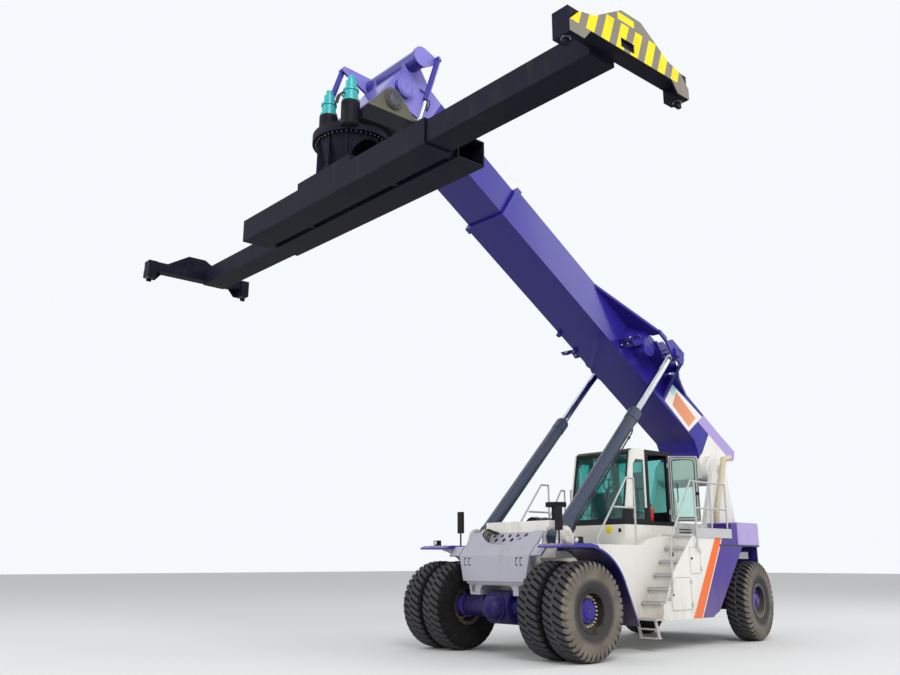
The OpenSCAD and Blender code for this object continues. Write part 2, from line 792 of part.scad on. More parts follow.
module cab_glass() {
    color([0.3, 0.55, 0.5, 0.5]) at_origin() {
        // front screen follows the lean of the cab
        slab_y([
            [front_at(cab_low + 120) - 20, cab_low + 120 + fit_gap],
            [front_at(cab_high - 130) - 20, cab_high - 130 - fit_gap],
            [front_at(cab_high - 130) - 20 - glass_t, cab_high - 130 - fit_gap],
            [front_at(cab_low + 120) - 20 - glass_t, cab_low + 120 + fit_gap]],
            -window_half + fit_gap, window_half - fit_gap);
        both_sides() slab_y([
            side_window[0] + [-fit_gap, fit_gap], side_window[1] + [-fit_gap, 0], side_window[2] + [0, -fit_gap],
            side_window[3] + [fit_gap, -fit_gap], side_window[4] + [fit_gap, fit_gap]],
            cab_half - 30, cab_half - 30 + glass_t);
        box(-4190 + fit_gap, -3500 - fit_gap, -cab_half + 30 - glass_t, -cab_half + 30,
            cab_low + 120 + fit_gap, cab_high - 130 - fit_gap);
        box(cab_rear + 20, cab_rear + 20 + glass_t, -window_half + fit_gap, window_half - fit_gap,
            rear_window_z[0] + fit_gap, rear_window_z[1] - fit_gap);
        box(-3950 + fit_gap, -3250 - fit_gap, -window_half + 100 + fit_gap, window_half - 100 - fit_gap,
            cab_high - 40, cab_high - 40 + glass_t);
    }
}

seat_x = -3850;
floor_z = cab_low + cab_wall;

module cab_interior() {
    color([0.15, 0.15, 0.16]) at_origin() {
        // pedestal of the seat
        box(seat_x - 200, seat_x + 200, -180, 180, floor_z, floor_z + 300);
        // console on the right of the seat
        box(seat_x - 150, seat_x + 450, -560, -330, floor_z, floor_z + 620);
        // dashboard and the steering column
        box(-3050, -2950, -350, 350, floor_z, floor_z + 620);
        bar([-3000, 0, floor_z + 600], [-3220, 0, floor_z + 760], 35);
        translate([-3220, 0, floor_z + 760]) rotate([0, -54, 0])
            rotate_extrude() translate([190, 0]) circle(r = 16);
        translate([-3220, 0, floor_z + 760]) rotate([0, -54, 0]) for (a = [0:120:240])
            rotate([0, 0, a]) translate([0, -12, -8]) cube([190, 24, 16]);
    }
}

module seat() {
    color([0.12, 0.12, 0.13]) at_origin() {
        box(seat_x - 270, seat_x + 270, -260, 260, floor_z + 300 + fit_gap, floor_z + 430);
        slab_y([[seat_x - 270, floor_z + 429], [seat_x - 130, floor_z + 429],
            [seat_x - 260, floor_z + 1130], [seat_x - 370, floor_z + 1130]], -240, 240);
    }
}

module on_door() {
    translate([door_x, door_y, 0]) rotate([0, 0, door_open]) children();
}

door_glass_x = [80, door_width - 85];
door_glass_z = [door_low + 90, door_top - 80];

module cab_door() {
    color("lightgray") at_origin() on_door() {
        difference() {
            box(10, door_width - run_gap, -20 - door_t, -20, door_low, door_top);
            box(door_glass_x[0], door_glass_x[1], -21 - door_t, -19, door_glass_z[0], door_glass_z[1]);
        }
        // hinges and the handle
        for (z = [door_low + 150, door_top - 250]) difference() {
            union() {
                disc_z(0, 0, 16, z, z + 100);
                box(0, 60, -20, -8, z, z + 100);
            }
            disc_z(0, 0, 8 + fit_gap, z - 1, z + 101);
        }
        box(door_width - 70, door_width - 30, -20, 15, door_low + 500, door_low + 640);
    }
}

module door_pins() {
    for (z = [door_low + 150, door_top - 250]) {
        disc_z(door_x, door_y, 8, z - 20, z + 120);
        for (dz = [-20, 100 + run_gap]) box(door_x - 60, door_x + 8, cab_half, door_y + 8, z + dz, z + dz + 14);
    }
}

module door_glass() {
    color([0.45, 0.65, 0.6, 0.5]) at_origin() on_door()
        box(door_glass_x[0] + fit_gap, door_glass_x[1] - fit_gap, -46, -46 + glass_t,
            door_glass_z[0] + fit_gap, door_glass_z[1] - fit_gap);
}

// Things on the deck

module exhaust() {
    color([0.85, 0.80, 0.68]) at_origin()
        pipe([[steer_x + 400, 1020, rear_top], [steer_x + 400, 1020, 2700],
              [steer_x - 50, 1020, 3900], [steer_x - 300, 1020, 3960]], 65);
}

module air_cleaner() {
    color([0.1, 0.1, 0.1]) at_origin() {
        box(-1900, -1100, -500, 100, beam_high, beam_high + 150);
        translate([-1900, -350, 2300]) rotate([0, 90, 0]) cylinder(h = 800, r = 200);
        disc_z(-1500, -60, 90, beam_high + 150, 2700);
        disc_z(-1500, -60, 210, 2700, 2790);
    }
}

module lamps_and_mirrors() {
    color([0.1, 0.1, 0.1]) at_origin() both_sides() {
        box(40, 140, 1800, 1920, fender_high, fender_high + 110);
        bar([-40, 1300, fender_high], [-40, 1300, 2380], 16);
        box(-65, -15, 1230, 1370, 2180, 2600);
    }
}

// Boom, in its own frame: u runs along the boom, v up from the hinge line

outer_high = outer_low + outer_depth;
lift_u = 2920;
lift_v = 980;
wing_low = outer_high - 60;
ear_t = 50;
ear_lane = 101;
lane_in = lift_y - ear_lane;
lane_out = lift_y + ear_lane;
wing_out = lane_out + ear_t;
ear_low_r = 165;
rear_ear = -325;
pivot_boss_r = 350;
cavity_half = outer_half - boom_wall;
cavity_low = outer_low + boom_wall;
cavity_high = outer_high - boom_wall;
pad_t = 22;
shelf_u = lift_u + 930;
shelf_v = outer_low + 180;
shelf_out = 1100;
notch_reach = 625;
light_y = [570, 735, 900];
foot_low = -330;

// Ear for the rod's pin; front and rear say how far its tongues reach from the pin
module ear(y0, y1, front, rear) {
    slab_y([for (p = concat(
        [[rear, -70], [min(rear + 100, -225), rear < rear_ear ? 30 : 195], [-225, 195],
         [260, 185], [385, 40], [front, 40], [front, -5], [420, -12], [280, -65], [130, -110]],
        arc(0, 0, ear_low_r, -42, -135, 6),
        [[-230, -120]])) [lift_u + p[0], lift_v + p[1]]], y0, y1);
}

// Upright plate under a wing's edge: cut to a plan from a sheet with a sloping lower edge
module wing_web(plan, low_in, low_out) {
    intersection() {
        slab_z(plan, outer_low, wing_low + 20);
        slab_x([[outer_half - 1, low_in], [outer_half - 1, wing_low + 20],
            [wing_out, wing_low + 20], [wing_out, low_out]], 0, outer_len);
    }
}

module wings() {
    root = outer_half - 1;
    difference() {
        slab_z([[lift_u + 2380, root], [lift_u + 730, lane_out], [lift_u + 680, wing_out],
            [lift_u + 426, wing_out], [lift_u + 943, root]], wing_low, outer_high);
        // the rod's eye swings in this notch
        box(lift_u + 300, lift_u + notch_reach, lane_in, lane_out - 3, wing_low - 1, outer_high + 1);
    }
    wing_web([[lift_u + 700, lane_in - ear_t + 1], [lift_u + 755, lane_in - ear_t + 1],
        [lift_u + 1015, root], [lift_u + 960, root]], outer_low + 135, wing_low - 50);
    slab_z([[lift_u - 1420, root], [lift_u - 1090, 610], [lift_u - 810, 700], [lift_u - 510, 875],
        [lift_u - 320, 1130], [lift_u - 220, wing_out], [lift_u - 680, root]], wing_low, outer_high);
    wing_web([[lift_u - 740, root], [lift_u - 300, 1140], [lift_u - 220, wing_out], [lift_u - 680, root]],
        outer_low + 110, wing_low - 120);
    ear(lane_in - ear_t, lane_in, 440, -480);
    ear(lane_out, wing_out, 680, rear_ear);
    disc_y(lift_u, lift_v, 130, wing_out, wing_out + 25);
    // box and boss between the boom's side and the inner ear
    box(lift_u - 440, lift_u + 690, root, lane_in - ear_t + 1, lift_v - 120, wing_low + 20);
    disc_y(lift_u + 530, 750, 190, root, lane_in - ear_t - 5);
    // shelf with three working lights
    box(shelf_u, shelf_u + 260, root, lane_in - ear_t, shelf_v, shelf_v + 20);
    box(shelf_u + 160, shelf_u + 260, root, shelf_out, shelf_v, shelf_v + 20);
    for (i = [0:2]) translate([i < 2 ? 0 : 155, 0, 0])
        box(shelf_u + 50, shelf_u + 120, light_y[i] - 55, light_y[i] + 55, shelf_v - 70, shelf_v + 1);
}

module boom_outer() {
    color(violet) at_origin() in_boom() {
        difference() {
            union() {
                difference() {
                    slab_y([
                        [outer_len, outer_low], [outer_len, outer_high], [-100, outer_high],
                        [tail_u + 240, outer_high + 20], [tail_u + 180, 880], [-420, 250],
                        [-350, -60], [-150, foot_low], [150, foot_low], [330, -120], [560, 140],
                        [800, outer_low]], -outer_half, outer_half);
                    // the tail is a box of plates
                    slab_y([
                        [60, cavity_high], [tail_u + 300, cavity_high], [tail_u + 260, 890],
                        [-370, 250], [-300, -40], [-130, foot_low + 40], [130, foot_low + 40],
                        [300, -95], [530, 170], [700, cavity_low - 60], [60, cavity_low - 60]],
                        -cavity_half, cavity_half);
                }
                both_sides() disc_y(0, 0, pivot_boss_r, outer_half - 20, tower_in - 10);
                disc_y(0, 0, pivot_pin_r + 70, -outer_half, outer_half);
                // collar round the mouth
                slab_y([[outer_len - 140, outer_low - 30], [outer_len - 140, outer_high + 30],
                    [outer_len, outer_high + 30], [outer_len, outer_low - 30]],
                    -outer_half - 25, outer_half + 25);
                both_sides() wings();
                // hose brackets under the right edge
                for (u = [4180, 4780])
                    box(u, u + 80, -outer_half - 20, -outer_half + 60, outer_low - 90, outer_low + 10);
                // tail bracket with two eyes
                both_sides() disc_y(tail_u, tail_v, tail_eye_r, 120, 160);
                both_sides() slab_y([[tail_u - 40, tail_v - 78], [tail_u + 260, tail_v - 110],
                    [tail_u + 260, outer_high], [tail_u, tail_v + 88]], 120, 160);
            }
            disc_y(0, 0, pivot_pin_r + fit_gap, -tower_in, tower_in);
            slab_y([[160, cavity_low], [160, cavity_high], [outer_len + 1, cavity_high],
                [outer_len + 1, cavity_low]], -cavity_half, cavity_half);
            both_sides() disc_y(tail_u, tail_v, 40, 100, 200);
        }
        // wear pads in the mouth
        ring_pads(outer_len - 300, outer_len - 40, cavity_half - pad_t,
            cavity_low + pad_t, cavity_high - pad_t, pad_t + 1);
    }
}

inner_half = cavity_half - pad_t - fit_gap;
inner_low = cavity_low + pad_t + fit_gap;
inner_high = cavity_high - pad_t - fit_gap;
inner_end = hang_u - head_reach;
inner_start = inner_end - inner_len;
inner_wall = boom_wall - 6;

module ring_pads(u0, u1, half, low, high, t) {
    for (s = [-1, 1]) translate([0, s * (half + t / 2), 0]) for (v = [low + 80, high - 230])
        box(u0, u1, -t / 2, t / 2, v, v + 150);
    for (y = [-half + 60, half - 260]) {
        box(u0, u1, y, y + 200, low - t, low);
        box(u0, u1, y, y + 200, high, high + t);
    }
}

module boom_inner() {
    color(violet) at_origin() in_boom() {
        difference() {
            slab_y([[inner_start, inner_low], [inner_start, inner_high],
                [inner_end, inner_high], [inner_end, inner_low]], -inner_half, inner_half);
            slab_y([[inner_start - 1, inner_low + inner_wall], [inner_start - 1, inner_high - inner_wall],
                [inner_end + 1, inner_high - inner_wall], [inner_end + 1, inner_low + inner_wall]],
                -inner_half + inner_wall, inner_half - inner_wall);
        }
        // wear pads at its rear end
        ring_pads(inner_start + 20, inner_start + 320, inner_half, inner_low, inner_high, pad_t);
    }
}

// Head, which carries the hanging pin and the dampers' levers

hang_pin_r = 85;
head_half = 700;
head_boss_r = 210;
boss_u = hang_u - 108;
boss_v = hang_v + 686;
boss_r = 200;
nose_r = 290;
top_u = hang_u + 54;
top_v = hang_v + 1294;
top_tube_r = 175;
lever_t = 50;
lever_pin_r = 30;
damper_y = 860;
damper_half = 35;
damper_r = 55;
lever_out = damper_y - damper_r - run_gap;
rear_tip = [hang_x - 970, hang_z + 1150];
front_tip = [hang_x + 10, hang_z + 1290];
rear_lug = [hang_x - 520, hang_z - 280];
front_lug = [hang_x + 530, hang_z - 280];

function to_boom(p) = [
    (p[0] - pivot_x) * cos(boom_angle) + (p[1] - pivot_z) * sin(boom_angle),
    -(p[0] - pivot_x) * sin(boom_angle) + (p[1] - pivot_z) * cos(boom_angle)];

function head_front(d) = concat(
    arc(hang_u, hang_v, head_boss_r - d, 170, 350, 10),
    arc(boss_u, boss_v, nose_r - d, -5, 50, 6),
    arc(top_u, top_v, top_tube_r - d, -10, 110, 8));

module head_cheek(y0, y1) {
    slab_y(concat(
        [[inner_end, inner_high], [inner_end, inner_low - 20], [hang_u - 420, inner_low - 120]],
        head_front(0),
        [[top_u - 560, inner_high + 20]]), y0, y1);
}

module lever(tip, y0, y1) {
    t = to_boom(tip);
    d = t - [top_u, top_v];
    a = atan2(d[1], d[0]);
    difference() {
        slab_y(concat(
            arc(top_u, top_v, top_tube_r + 25, a + 75, a + 285, 14),
            arc(t[0], t[1], 65, a - 75, a + 75, 8)), y0, y1);
        disc_y(t[0], t[1], lever_pin_r, y0 - 1, y1 + 1);
    }
}

module boom_head() {
    color(violet) at_origin() in_boom() {
        difference() {
            union() {
                both_sides() head_cheek(inner_half - 60, inner_half);
                disc_y(hang_u, hang_v, head_boss_r, -head_half, head_half);
                disc_y(top_u, top_v, top_tube_r, -lever_out + lever_t, lever_out - lever_t);
                disc_y(boss_u, boss_v, boss_r, -inner_half - 90, inner_half + 90);
                box(inner_end, inner_end + 60, -inner_half + 60, inner_half - 60, inner_low, inner_high);
                // front plate between the cheeks
                slab_y(concat(
                    arc(hang_u, hang_v, head_boss_r, 330, 350, 2),
                    arc(boss_u, boss_v, nose_r, -5, 50, 6), [[top_u + 100, top_v]],
                    [[top_u + 40, top_v]], arc(boss_u, boss_v, nose_r - 50, 50, -5, 6),
                    arc(hang_u, hang_v, head_boss_r - 50, 350, 330, 2)), -inner_half + 61, inner_half - 61);
                lever(rear_tip, lever_out - lever_t, lever_out);
                lever(front_tip, -lever_out, -lever_out + lever_t);
            }
            disc_y(hang_u, hang_v, hang_pin_r + fit_gap, -head_half - 1, head_half + 1);
        }
        for (s = [[rear_tip, 1], [front_tip, -1]]) {
            t = to_boom(s[0]);
            y = s[1] > 0 ? [lever_out - lever_t, damper_y + 60] : [-damper_y - 60, -lever_out + lever_t];
            disc_y(t[0], t[1], lever_pin_r, y[0], y[1]);
        }
    }
}

// Lift cylinders

lift_top = boom_point(lift_u, lift_v);
lift_dir = lift_top - [base_x, base_z];
lift_angle = atan2(lift_dir[1], lift_dir[0]);
lift_len = norm(lift_dir);
eye_half = lane - run_gap;
rod_eye_half = ear_lane - run_gap;
lift_bore_start = 300;
lift_rod_start = lift_bore_start + 1640;

module along_lift(s) {
    on_side(s) translate([base_x, lift_y, base_z]) rotate([0, -lift_angle, 0]) children();
}

module lift_barrel(s) {
    color([0.2, 0.24, 0.32]) at_origin() along_lift(s) difference() {
        union() {
            disc_y(0, 0, 150, -eye_half, eye_half);
            disc_x(0, 0, barrel_r, 60, barrel_len - 20);
            disc_x(0, 0, barrel_r + 9, barrel_len - 260, barrel_len);
            disc_x(0, 0, barrel_r + 9, 170, 230);
        }
        disc_y(0, 0, base_pin_r + fit_gap, -eye_half - 1, eye_half + 1);
        disc_x(0, 0, lift_rod_r + fit_gap, lift_bore_start, barrel_len + 1);
    }
}

module lift_rod(s) {
    color("silver") at_origin() along_lift(s) difference() {
        union() {
            disc_x(0, 0, lift_rod_r, lift_rod_start, lift_len - 120);
            disc_y(lift_len, 0, 155, -rod_eye_half, rod_eye_half);
        }
        disc_y(lift_len, 0, base_pin_r, -rod_eye_half - 1, rod_eye_half + 1);
    }
}

// Yoke that hangs from the head, slewing gear and dampers

ear_in = head_half + 10;
ear_out = ear_in + 70;
yoke_low = hang_z - 580;
yoke_high = hang_z - 380;
ring_h = 90;

yoke_rear = hang_x - 640;
yoke_front = hang_x + 640;
motor_x = spreader_x + 430;
motor_y = [520, -160];

module yoke() {
    color(plate_grey) at_origin() {
        both_sides() {
            slab_y(concat(
                [[yoke_rear, yoke_high]],
                arc(hang_x, hang_z, 230, 130, 50, 8),
                [[yoke_front, yoke_high]]), ear_in, ear_out);
            disc_y(hang_x, hang_z, 190, ear_out, ear_out + 30);
            disc_y(hang_x, hang_z, hang_pin_r, 0, ear_out);
        }
        box(yoke_rear, yoke_front, -ear_out, ear_out, yoke_low, yoke_high);
        // seats of the dampers
        disc_y(rear_lug[0], rear_lug[1], 60, ear_out, damper_y - damper_half - run_gap);
        disc_y(front_lug[0], front_lug[1], 60, -damper_y + damper_half + run_gap, -ear_out);
        disc_z(spreader_x, 0, slew_r, yoke_low - ring_h, yoke_low);
        for (y = motor_y) disc_z(motor_x, y, 165, yoke_low - ring_h, yoke_high + 120);
    }
}

module slew_motors() {
    color([0.1, 0.68, 0.68]) at_origin() for (y = motor_y) translate([motor_x, y, 0]) {
        disc_z(0, 0, 150, yoke_high + 120, yoke_high + 210);
        disc_z(0, 0, 125, yoke_high + 210, yoke_high + 360);
        disc_z(0, 0, 140, yoke_high + 360, yoke_high + 400);
        disc_z(0, 0, 95, yoke_high + 400, yoke_high + 560);
        disc_z(0, 0, 60, yoke_high + 560, yoke_high + 660);
    }
}

damper_rod_r = 28;
damper_barrel_len = [1000, 1150];
damper_bore_start = 80;
damper_rod_start = [420, 450];
damper_eye_r = 60;

module along_damper(k) {
    tip = k > 0 ? rear_tip : front_tip;
    lug = k > 0 ? rear_lug : front_lug;
    d = lug - tip;
    translate([tip[0], k * damper_y, tip[1]]) rotate([0, -atan2(d[1], d[0]), 0]) children();
}

function damper_len(k) = norm((k > 0 ? rear_lug : front_lug) - (k > 0 ? rear_tip : front_tip));

module damper_barrel(k) {
    len = k > 0 ? damper_barrel_len[0] : damper_barrel_len[1];
    color(violet) at_origin() along_damper(k) difference() {
        union() {
            disc_y(0, 0, damper_eye_r, -damper_half, damper_half);
            disc_x(0, 0, damper_r, 40, len);
        }
        disc_y(0, 0, lever_pin_r + fit_gap, -damper_half - 1, damper_half + 1);
        disc_x(0, 0, damper_rod_r + fit_gap, damper_bore_start, len + 1);
    }
}

module damper_rod(k) {
    color("silver") at_origin() along_damper(k) difference() {
        union() {
            disc_x(0, 0, damper_rod_r, damper_rod_start[k > 0 ? 0 : 1], damper_len(k) - 30);
            disc_y(damper_len(k), 0, damper_eye_r, -damper_half, damper_half);
        }
        disc_y(damper_len(k), 0, lever_pin_r, -damper_half - 1, damper_half + 1);
    }
}

// Turntable under the slew ring, with the carriage that the main frame slides on

spreader_high = spreader_low + spreader_depth;
table_high = yoke_low - ring_h - fit_gap;
table_low = spreader_high + fit_gap;
drum_r = 560;
channel_gap = 60;
channel_half = 620;

module turntable() {
    color(navy) at_origin() difference() {
        union() {
            disc_z(spreader_x, 0, slew_r, table_high - 70, table_high);
            translate([spreader_x, 0, 0]) rotate_extrude() polygon([
                [0, table_low + 120], [drum_r + 30, table_low + 120], [drum_r - 20, table_low + 300],
                [drum_r + 60, table_high - 70], [0, table_high - 70]]);
            box(spreader_x - channel_half, spreader_x + channel_half, -800, 800, table_low, table_low + 120);
            // upright ribs round the drum
            translate([spreader_x, 0, 0]) for (i = [0:11]) rotate([0, 0, 15 + i * 30]) slab_y([
                [drum_r - 80, table_low + 119], [drum_r + 90, table_low + 119],
                [drum_r + 80, table_high - 69], [drum_r - 80, table_high - 69]], -12, 12);
        }
        // arched opening through the drum
        slab_y(concat(
            [[spreader_x - 330, table_low + 121]],
            arc(spreader_x, table_low + 330, 330, 180, 0, 12),
            [[spreader_x + 330, table_low + 121]]), -900, 900);
    }
}

arm_wall = 22;
arm_clear = 12;
channel_wall = 24;
arm_in = 1200;

function channel_x(k) = k > 0 ? [channel_gap, channel_half] : [-channel_half, -channel_gap];

module spreader_frame() {
    color(navy) at_origin() translate([spreader_x, 0, 0]) {
        for (k = [-1, 1]) {
            c = channel_x(k);
            difference() {
                box(c[0], c[1], -spreader_half, spreader_half, spreader_low + 40, spreader_high);
                box(c[0] + channel_wall, c[1] - channel_wall, -spreader_half - 1, spreader_half + 1,
                    spreader_low + 40 + channel_wall, spreader_high - channel_wall);
            }
        }
        // lifting lugs
        for (x = [-400, 400]) for (y = [-1712, 1712])
            box(x - 80, x + 80, y - 12, y + 12, spreader_high - 1, spreader_high + 110);
        // ties between the two channels
        for (y = [-spreader_half + 100, -1300, 1200, spreader_half - 200])
            box(-channel_gap, channel_gap, y, y + 100, spreader_low + 60, spreader_high - 60);
    }
}

arm_low = spreader_low + 40 + channel_wall + fit_gap;
arm_high = spreader_high - channel_wall - arm_clear;
beam_t = 250;
plate_t = 30;

function end_outline() = [
    [-end_half, spreader_low + 5], [-950, spreader_low + 5], [-820, spreader_low + 160],
    [820, spreader_low + 160], [950, spreader_low + 5], [end_half, spreader_low + 5],
    [end_half, spreader_low + 160], [1020, spreader_low + 340], [750, spreader_low + 400],
    [200, spreader_low + 730], [-200, spreader_low + 730], [-750, spreader_low + 400],
    [-1020, spreader_low + 340], [-end_half, spreader_low + 160]];

module both_ends() {
    children();
    mirror([1, 0, 0]) children();
}

module spreader_arm(k) {
    c = channel_x(k);
    a = [c[0] + channel_wall + arm_clear, c[1] - channel_wall - arm_clear];
    color(navy) at_origin() translate([spreader_x, 0, 0]) {
        difference() {
            on_side(k) box(a[0], a[1], arm_in, end_y - beam_t + 20, arm_low, arm_high);
            on_side(k) box(a[0] + arm_wall, a[1] - arm_wall, arm_in - 1, end_y - beam_t - 20,
                arm_low + arm_wall, arm_high - arm_wall);
        }
        on_side(k) {
            // end beam with its striped plate
            difference() {
                union() {
                    slab_y(end_outline(), end_y - plate_t, end_y);
                    box(-end_half, end_half, end_y - beam_t, end_y - plate_t, spreader_low + 160, spreader_low + 360);
                    both_ends() box(lock_x - 110, end_half, end_y - beam_t - 30, end_y - plate_t,
                        spreader_low, spreader_low + 360);
                }
                box(-30, 240, end_y - plate_t - 1, end_y + 1, spreader_low + 200, spreader_low + 330);
                both_ends() disc_z(lock_x, lock_y, 42, spreader_low - 1, spreader_low + 361);
            }
            // twistlocks in their corner housings
            both_ends() {
                disc_z(lock_x, lock_y, 42 - fit_gap, spreader_low - 20, spreader_low + 361);
                box(lock_x - 50, lock_x + 50, lock_y - 26, lock_y + 26, spreader_low - 85, spreader_low - 20);
            }
        }
    }
}

chassis_frame();
front_nose();
side_bodies();
cab_base();
rear_fenders();
counterweight();
hood();
engine_block();
front_fenders();
steps();
handrails();
drive_axle();
steer_axle();
cab_shell();
cab_glass();
cab_interior();
seat();
cab_door();
door_glass();
exhaust();
air_cleaner();
lamps_and_mirrors();
drive_tyres(1);  // drive_tyres_left
drive_tyres(-1);  // drive_tyres_right
drive_rims(1);  // drive_rims_left
drive_rims(-1);  // drive_rims_right
knuckle(1);  // knuckle_left
knuckle(-1);  // knuckle_right
steer_tyre(1);  // steer_tyre_left
steer_tyre(-1);  // steer_tyre_right
steer_rim(1);  // steer_rim_left
steer_rim(-1);  // steer_rim_right
boom_outer();
boom_inner();
boom_head();
lift_barrel(1);  // lift_barrel_left
lift_barrel(-1);  // lift_barrel_right
lift_rod(1);  // lift_rod_left
lift_rod(-1);  // lift_rod_right
yoke();
slew_motors();
damper_barrel(1);  // damper_barrel_left
damper_barrel(-1);  // damper_barrel_right
damper_rod(1);  // damper_rod_left
damper_rod(-1);  // damper_rod_right
turntable();
spreader_frame();
spreader_arm(1);  // spreader_arm_left
spreader_arm(-1);  // spreader_arm_right
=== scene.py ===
"""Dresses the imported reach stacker: paint, tyres, fittings, floor, light and camera."""

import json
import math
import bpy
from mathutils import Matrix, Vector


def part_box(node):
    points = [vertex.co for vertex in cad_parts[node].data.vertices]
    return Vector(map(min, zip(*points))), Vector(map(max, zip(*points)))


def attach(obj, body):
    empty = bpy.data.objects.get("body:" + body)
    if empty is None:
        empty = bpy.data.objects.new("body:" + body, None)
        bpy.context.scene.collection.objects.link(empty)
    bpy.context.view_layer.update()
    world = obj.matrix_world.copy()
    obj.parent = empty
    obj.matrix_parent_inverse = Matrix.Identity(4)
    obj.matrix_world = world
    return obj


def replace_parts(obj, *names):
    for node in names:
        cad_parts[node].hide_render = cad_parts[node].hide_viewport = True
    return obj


bl_info = {
    "name": "Reach stacker dresser",
    "version": (1, 0, 0),
    "blender": (4, 5, 0),
    "location": "View3D > Sidebar > Reach stacker",
    "description": "Paints a packed reach stacker and adds its bolts, lamps and small fittings",
    "category": "Object",
}

import bpy
from bpy.props import FloatProperty, FloatVectorProperty, IntProperty, PointerProperty
from bpy.types import Operator, Panel, PropertyGroup
from mathutils import Matrix, Vector

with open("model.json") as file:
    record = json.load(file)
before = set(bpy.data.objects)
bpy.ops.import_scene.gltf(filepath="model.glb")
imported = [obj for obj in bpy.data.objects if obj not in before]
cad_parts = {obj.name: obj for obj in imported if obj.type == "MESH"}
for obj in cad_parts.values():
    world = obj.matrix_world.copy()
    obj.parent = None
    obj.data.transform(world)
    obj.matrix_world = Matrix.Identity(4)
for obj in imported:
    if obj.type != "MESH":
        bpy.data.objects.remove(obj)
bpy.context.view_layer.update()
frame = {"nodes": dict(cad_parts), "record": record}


def middle(node):
    """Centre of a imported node's box."""
    low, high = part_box(node)
    return (Vector(low) + Vector(high)) / 2


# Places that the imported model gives, in metres
TYRE_LOW, TYRE_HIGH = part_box("drive_tyres_left")
AXLE = Vector((middle("drive_tyres_left").x, 0, middle("drive_tyres_left").z))
TYRE_R = (TYRE_HIGH.z - TYRE_LOW.z) / 2
STEER = Vector((*middle("steer_tyre_left").xy, AXLE.z))
STEER_RIGHT = Vector((*middle("steer_tyre_right").xy, AXLE.z))
RING = Vector((middle("turntable").x, 0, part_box("turntable")[1].z))
ARM_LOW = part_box("spreader_arm_left")[0]
YOKE_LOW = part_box("yoke")[0]
MOTOR_X = middle("slew_motors").x
BOOM_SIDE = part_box("boom_inner")[1].y

# Sizes and angles that the boxes don't tell, in metres and radians
TYRE_HALF = 0.2475
YOKE_PLATE_TOP = 9.322
BOOM_TILT = math.radians(32.5)
STEER_TURN = math.radians(9)
WHEELBASE, KINGPIN_Y = 6.0, 1.1
MOTOR_PLACES = (0.52, -0.16)
# the placards' panel, along the boom and square to it
PLACARD_PANEL = [(0.97, 0.785), (1.111, 0.424), (1.842, 0.481), (1.873, 0.853)]
# foot and head of the nose's leaning part, ahead of the driving axle and above the ground
NOSE_FOOT, NOSE_HEAD = (0.34, 1.745), (-0.05, 2.185)


def joint(name):
    """Place and axis of a joint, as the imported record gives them."""
    found = next(j for j in frame["record"]["behaviour"]["joints"] if j["name"] == name)
    return Vector(found.get("pos_m", (0, 0, 0))), Vector(found["axis"])


HINGE = joint("boom_lift")[0]
LIFT_BASE = joint("lift_cylinder_left")[0]
LIFT_WAY = joint("lift_stroke_left")[1]
HANG_PIN = joint("spreader_level")[0]


def at(x, y, z):
    """A point that is given ahead of the driving axle, to its left and above the ground."""
    return Vector((AXLE.x + x, y, z))


def on_boom(u, y, v):
    """A point along the boom from its hinge, to the left, and square to the boom."""
    return HINGE + Vector((u * math.cos(BOOM_TILT) - v * math.sin(BOOM_TILT), y,
                           u * math.sin(BOOM_TILT) + v * math.cos(BOOM_TILT)))


def on_lift(along, y, out):
    """A point along the left lift cylinder, beside its axis, and out from its upper face."""
    upward = Vector((LIFT_WAY.z, 0, -LIFT_WAY.x))
    return LIFT_BASE + Vector((0, y, 0)) + LIFT_WAY * along + upward * out


STEER_AXLE_X = at(-WHEELBASE, 0, 0).x
BOOM_TURN = Matrix.Translation(HINGE) @ Matrix.Rotation(-BOOM_TILT, 4, "Y")


def hang_on_boom():
    """The hanging pin's way along the boom and its height square to it."""
    run, rise = HANG_PIN.x - HINGE.x, HANG_PIN.z - HINGE.z
    return (run * math.cos(BOOM_TILT) + rise * math.sin(BOOM_TILT),
            rise * math.cos(BOOM_TILT) - run * math.sin(BOOM_TILT))


def srgb(red, green, blue):
    """A colour as it looks in a picture, turned into the numbers that the shader takes."""
    def line(value):
        value /= 255
        return value / 12.92 if value <= 0.04045 else ((value + 0.055) / 1.055) ** 2.4
    return line(red), line(green), line(blue)


def colour(name, description, default):
    return FloatVectorProperty(name=name, description=description, subtype="COLOR", size=3,
                               min=0, max=1, default=default)


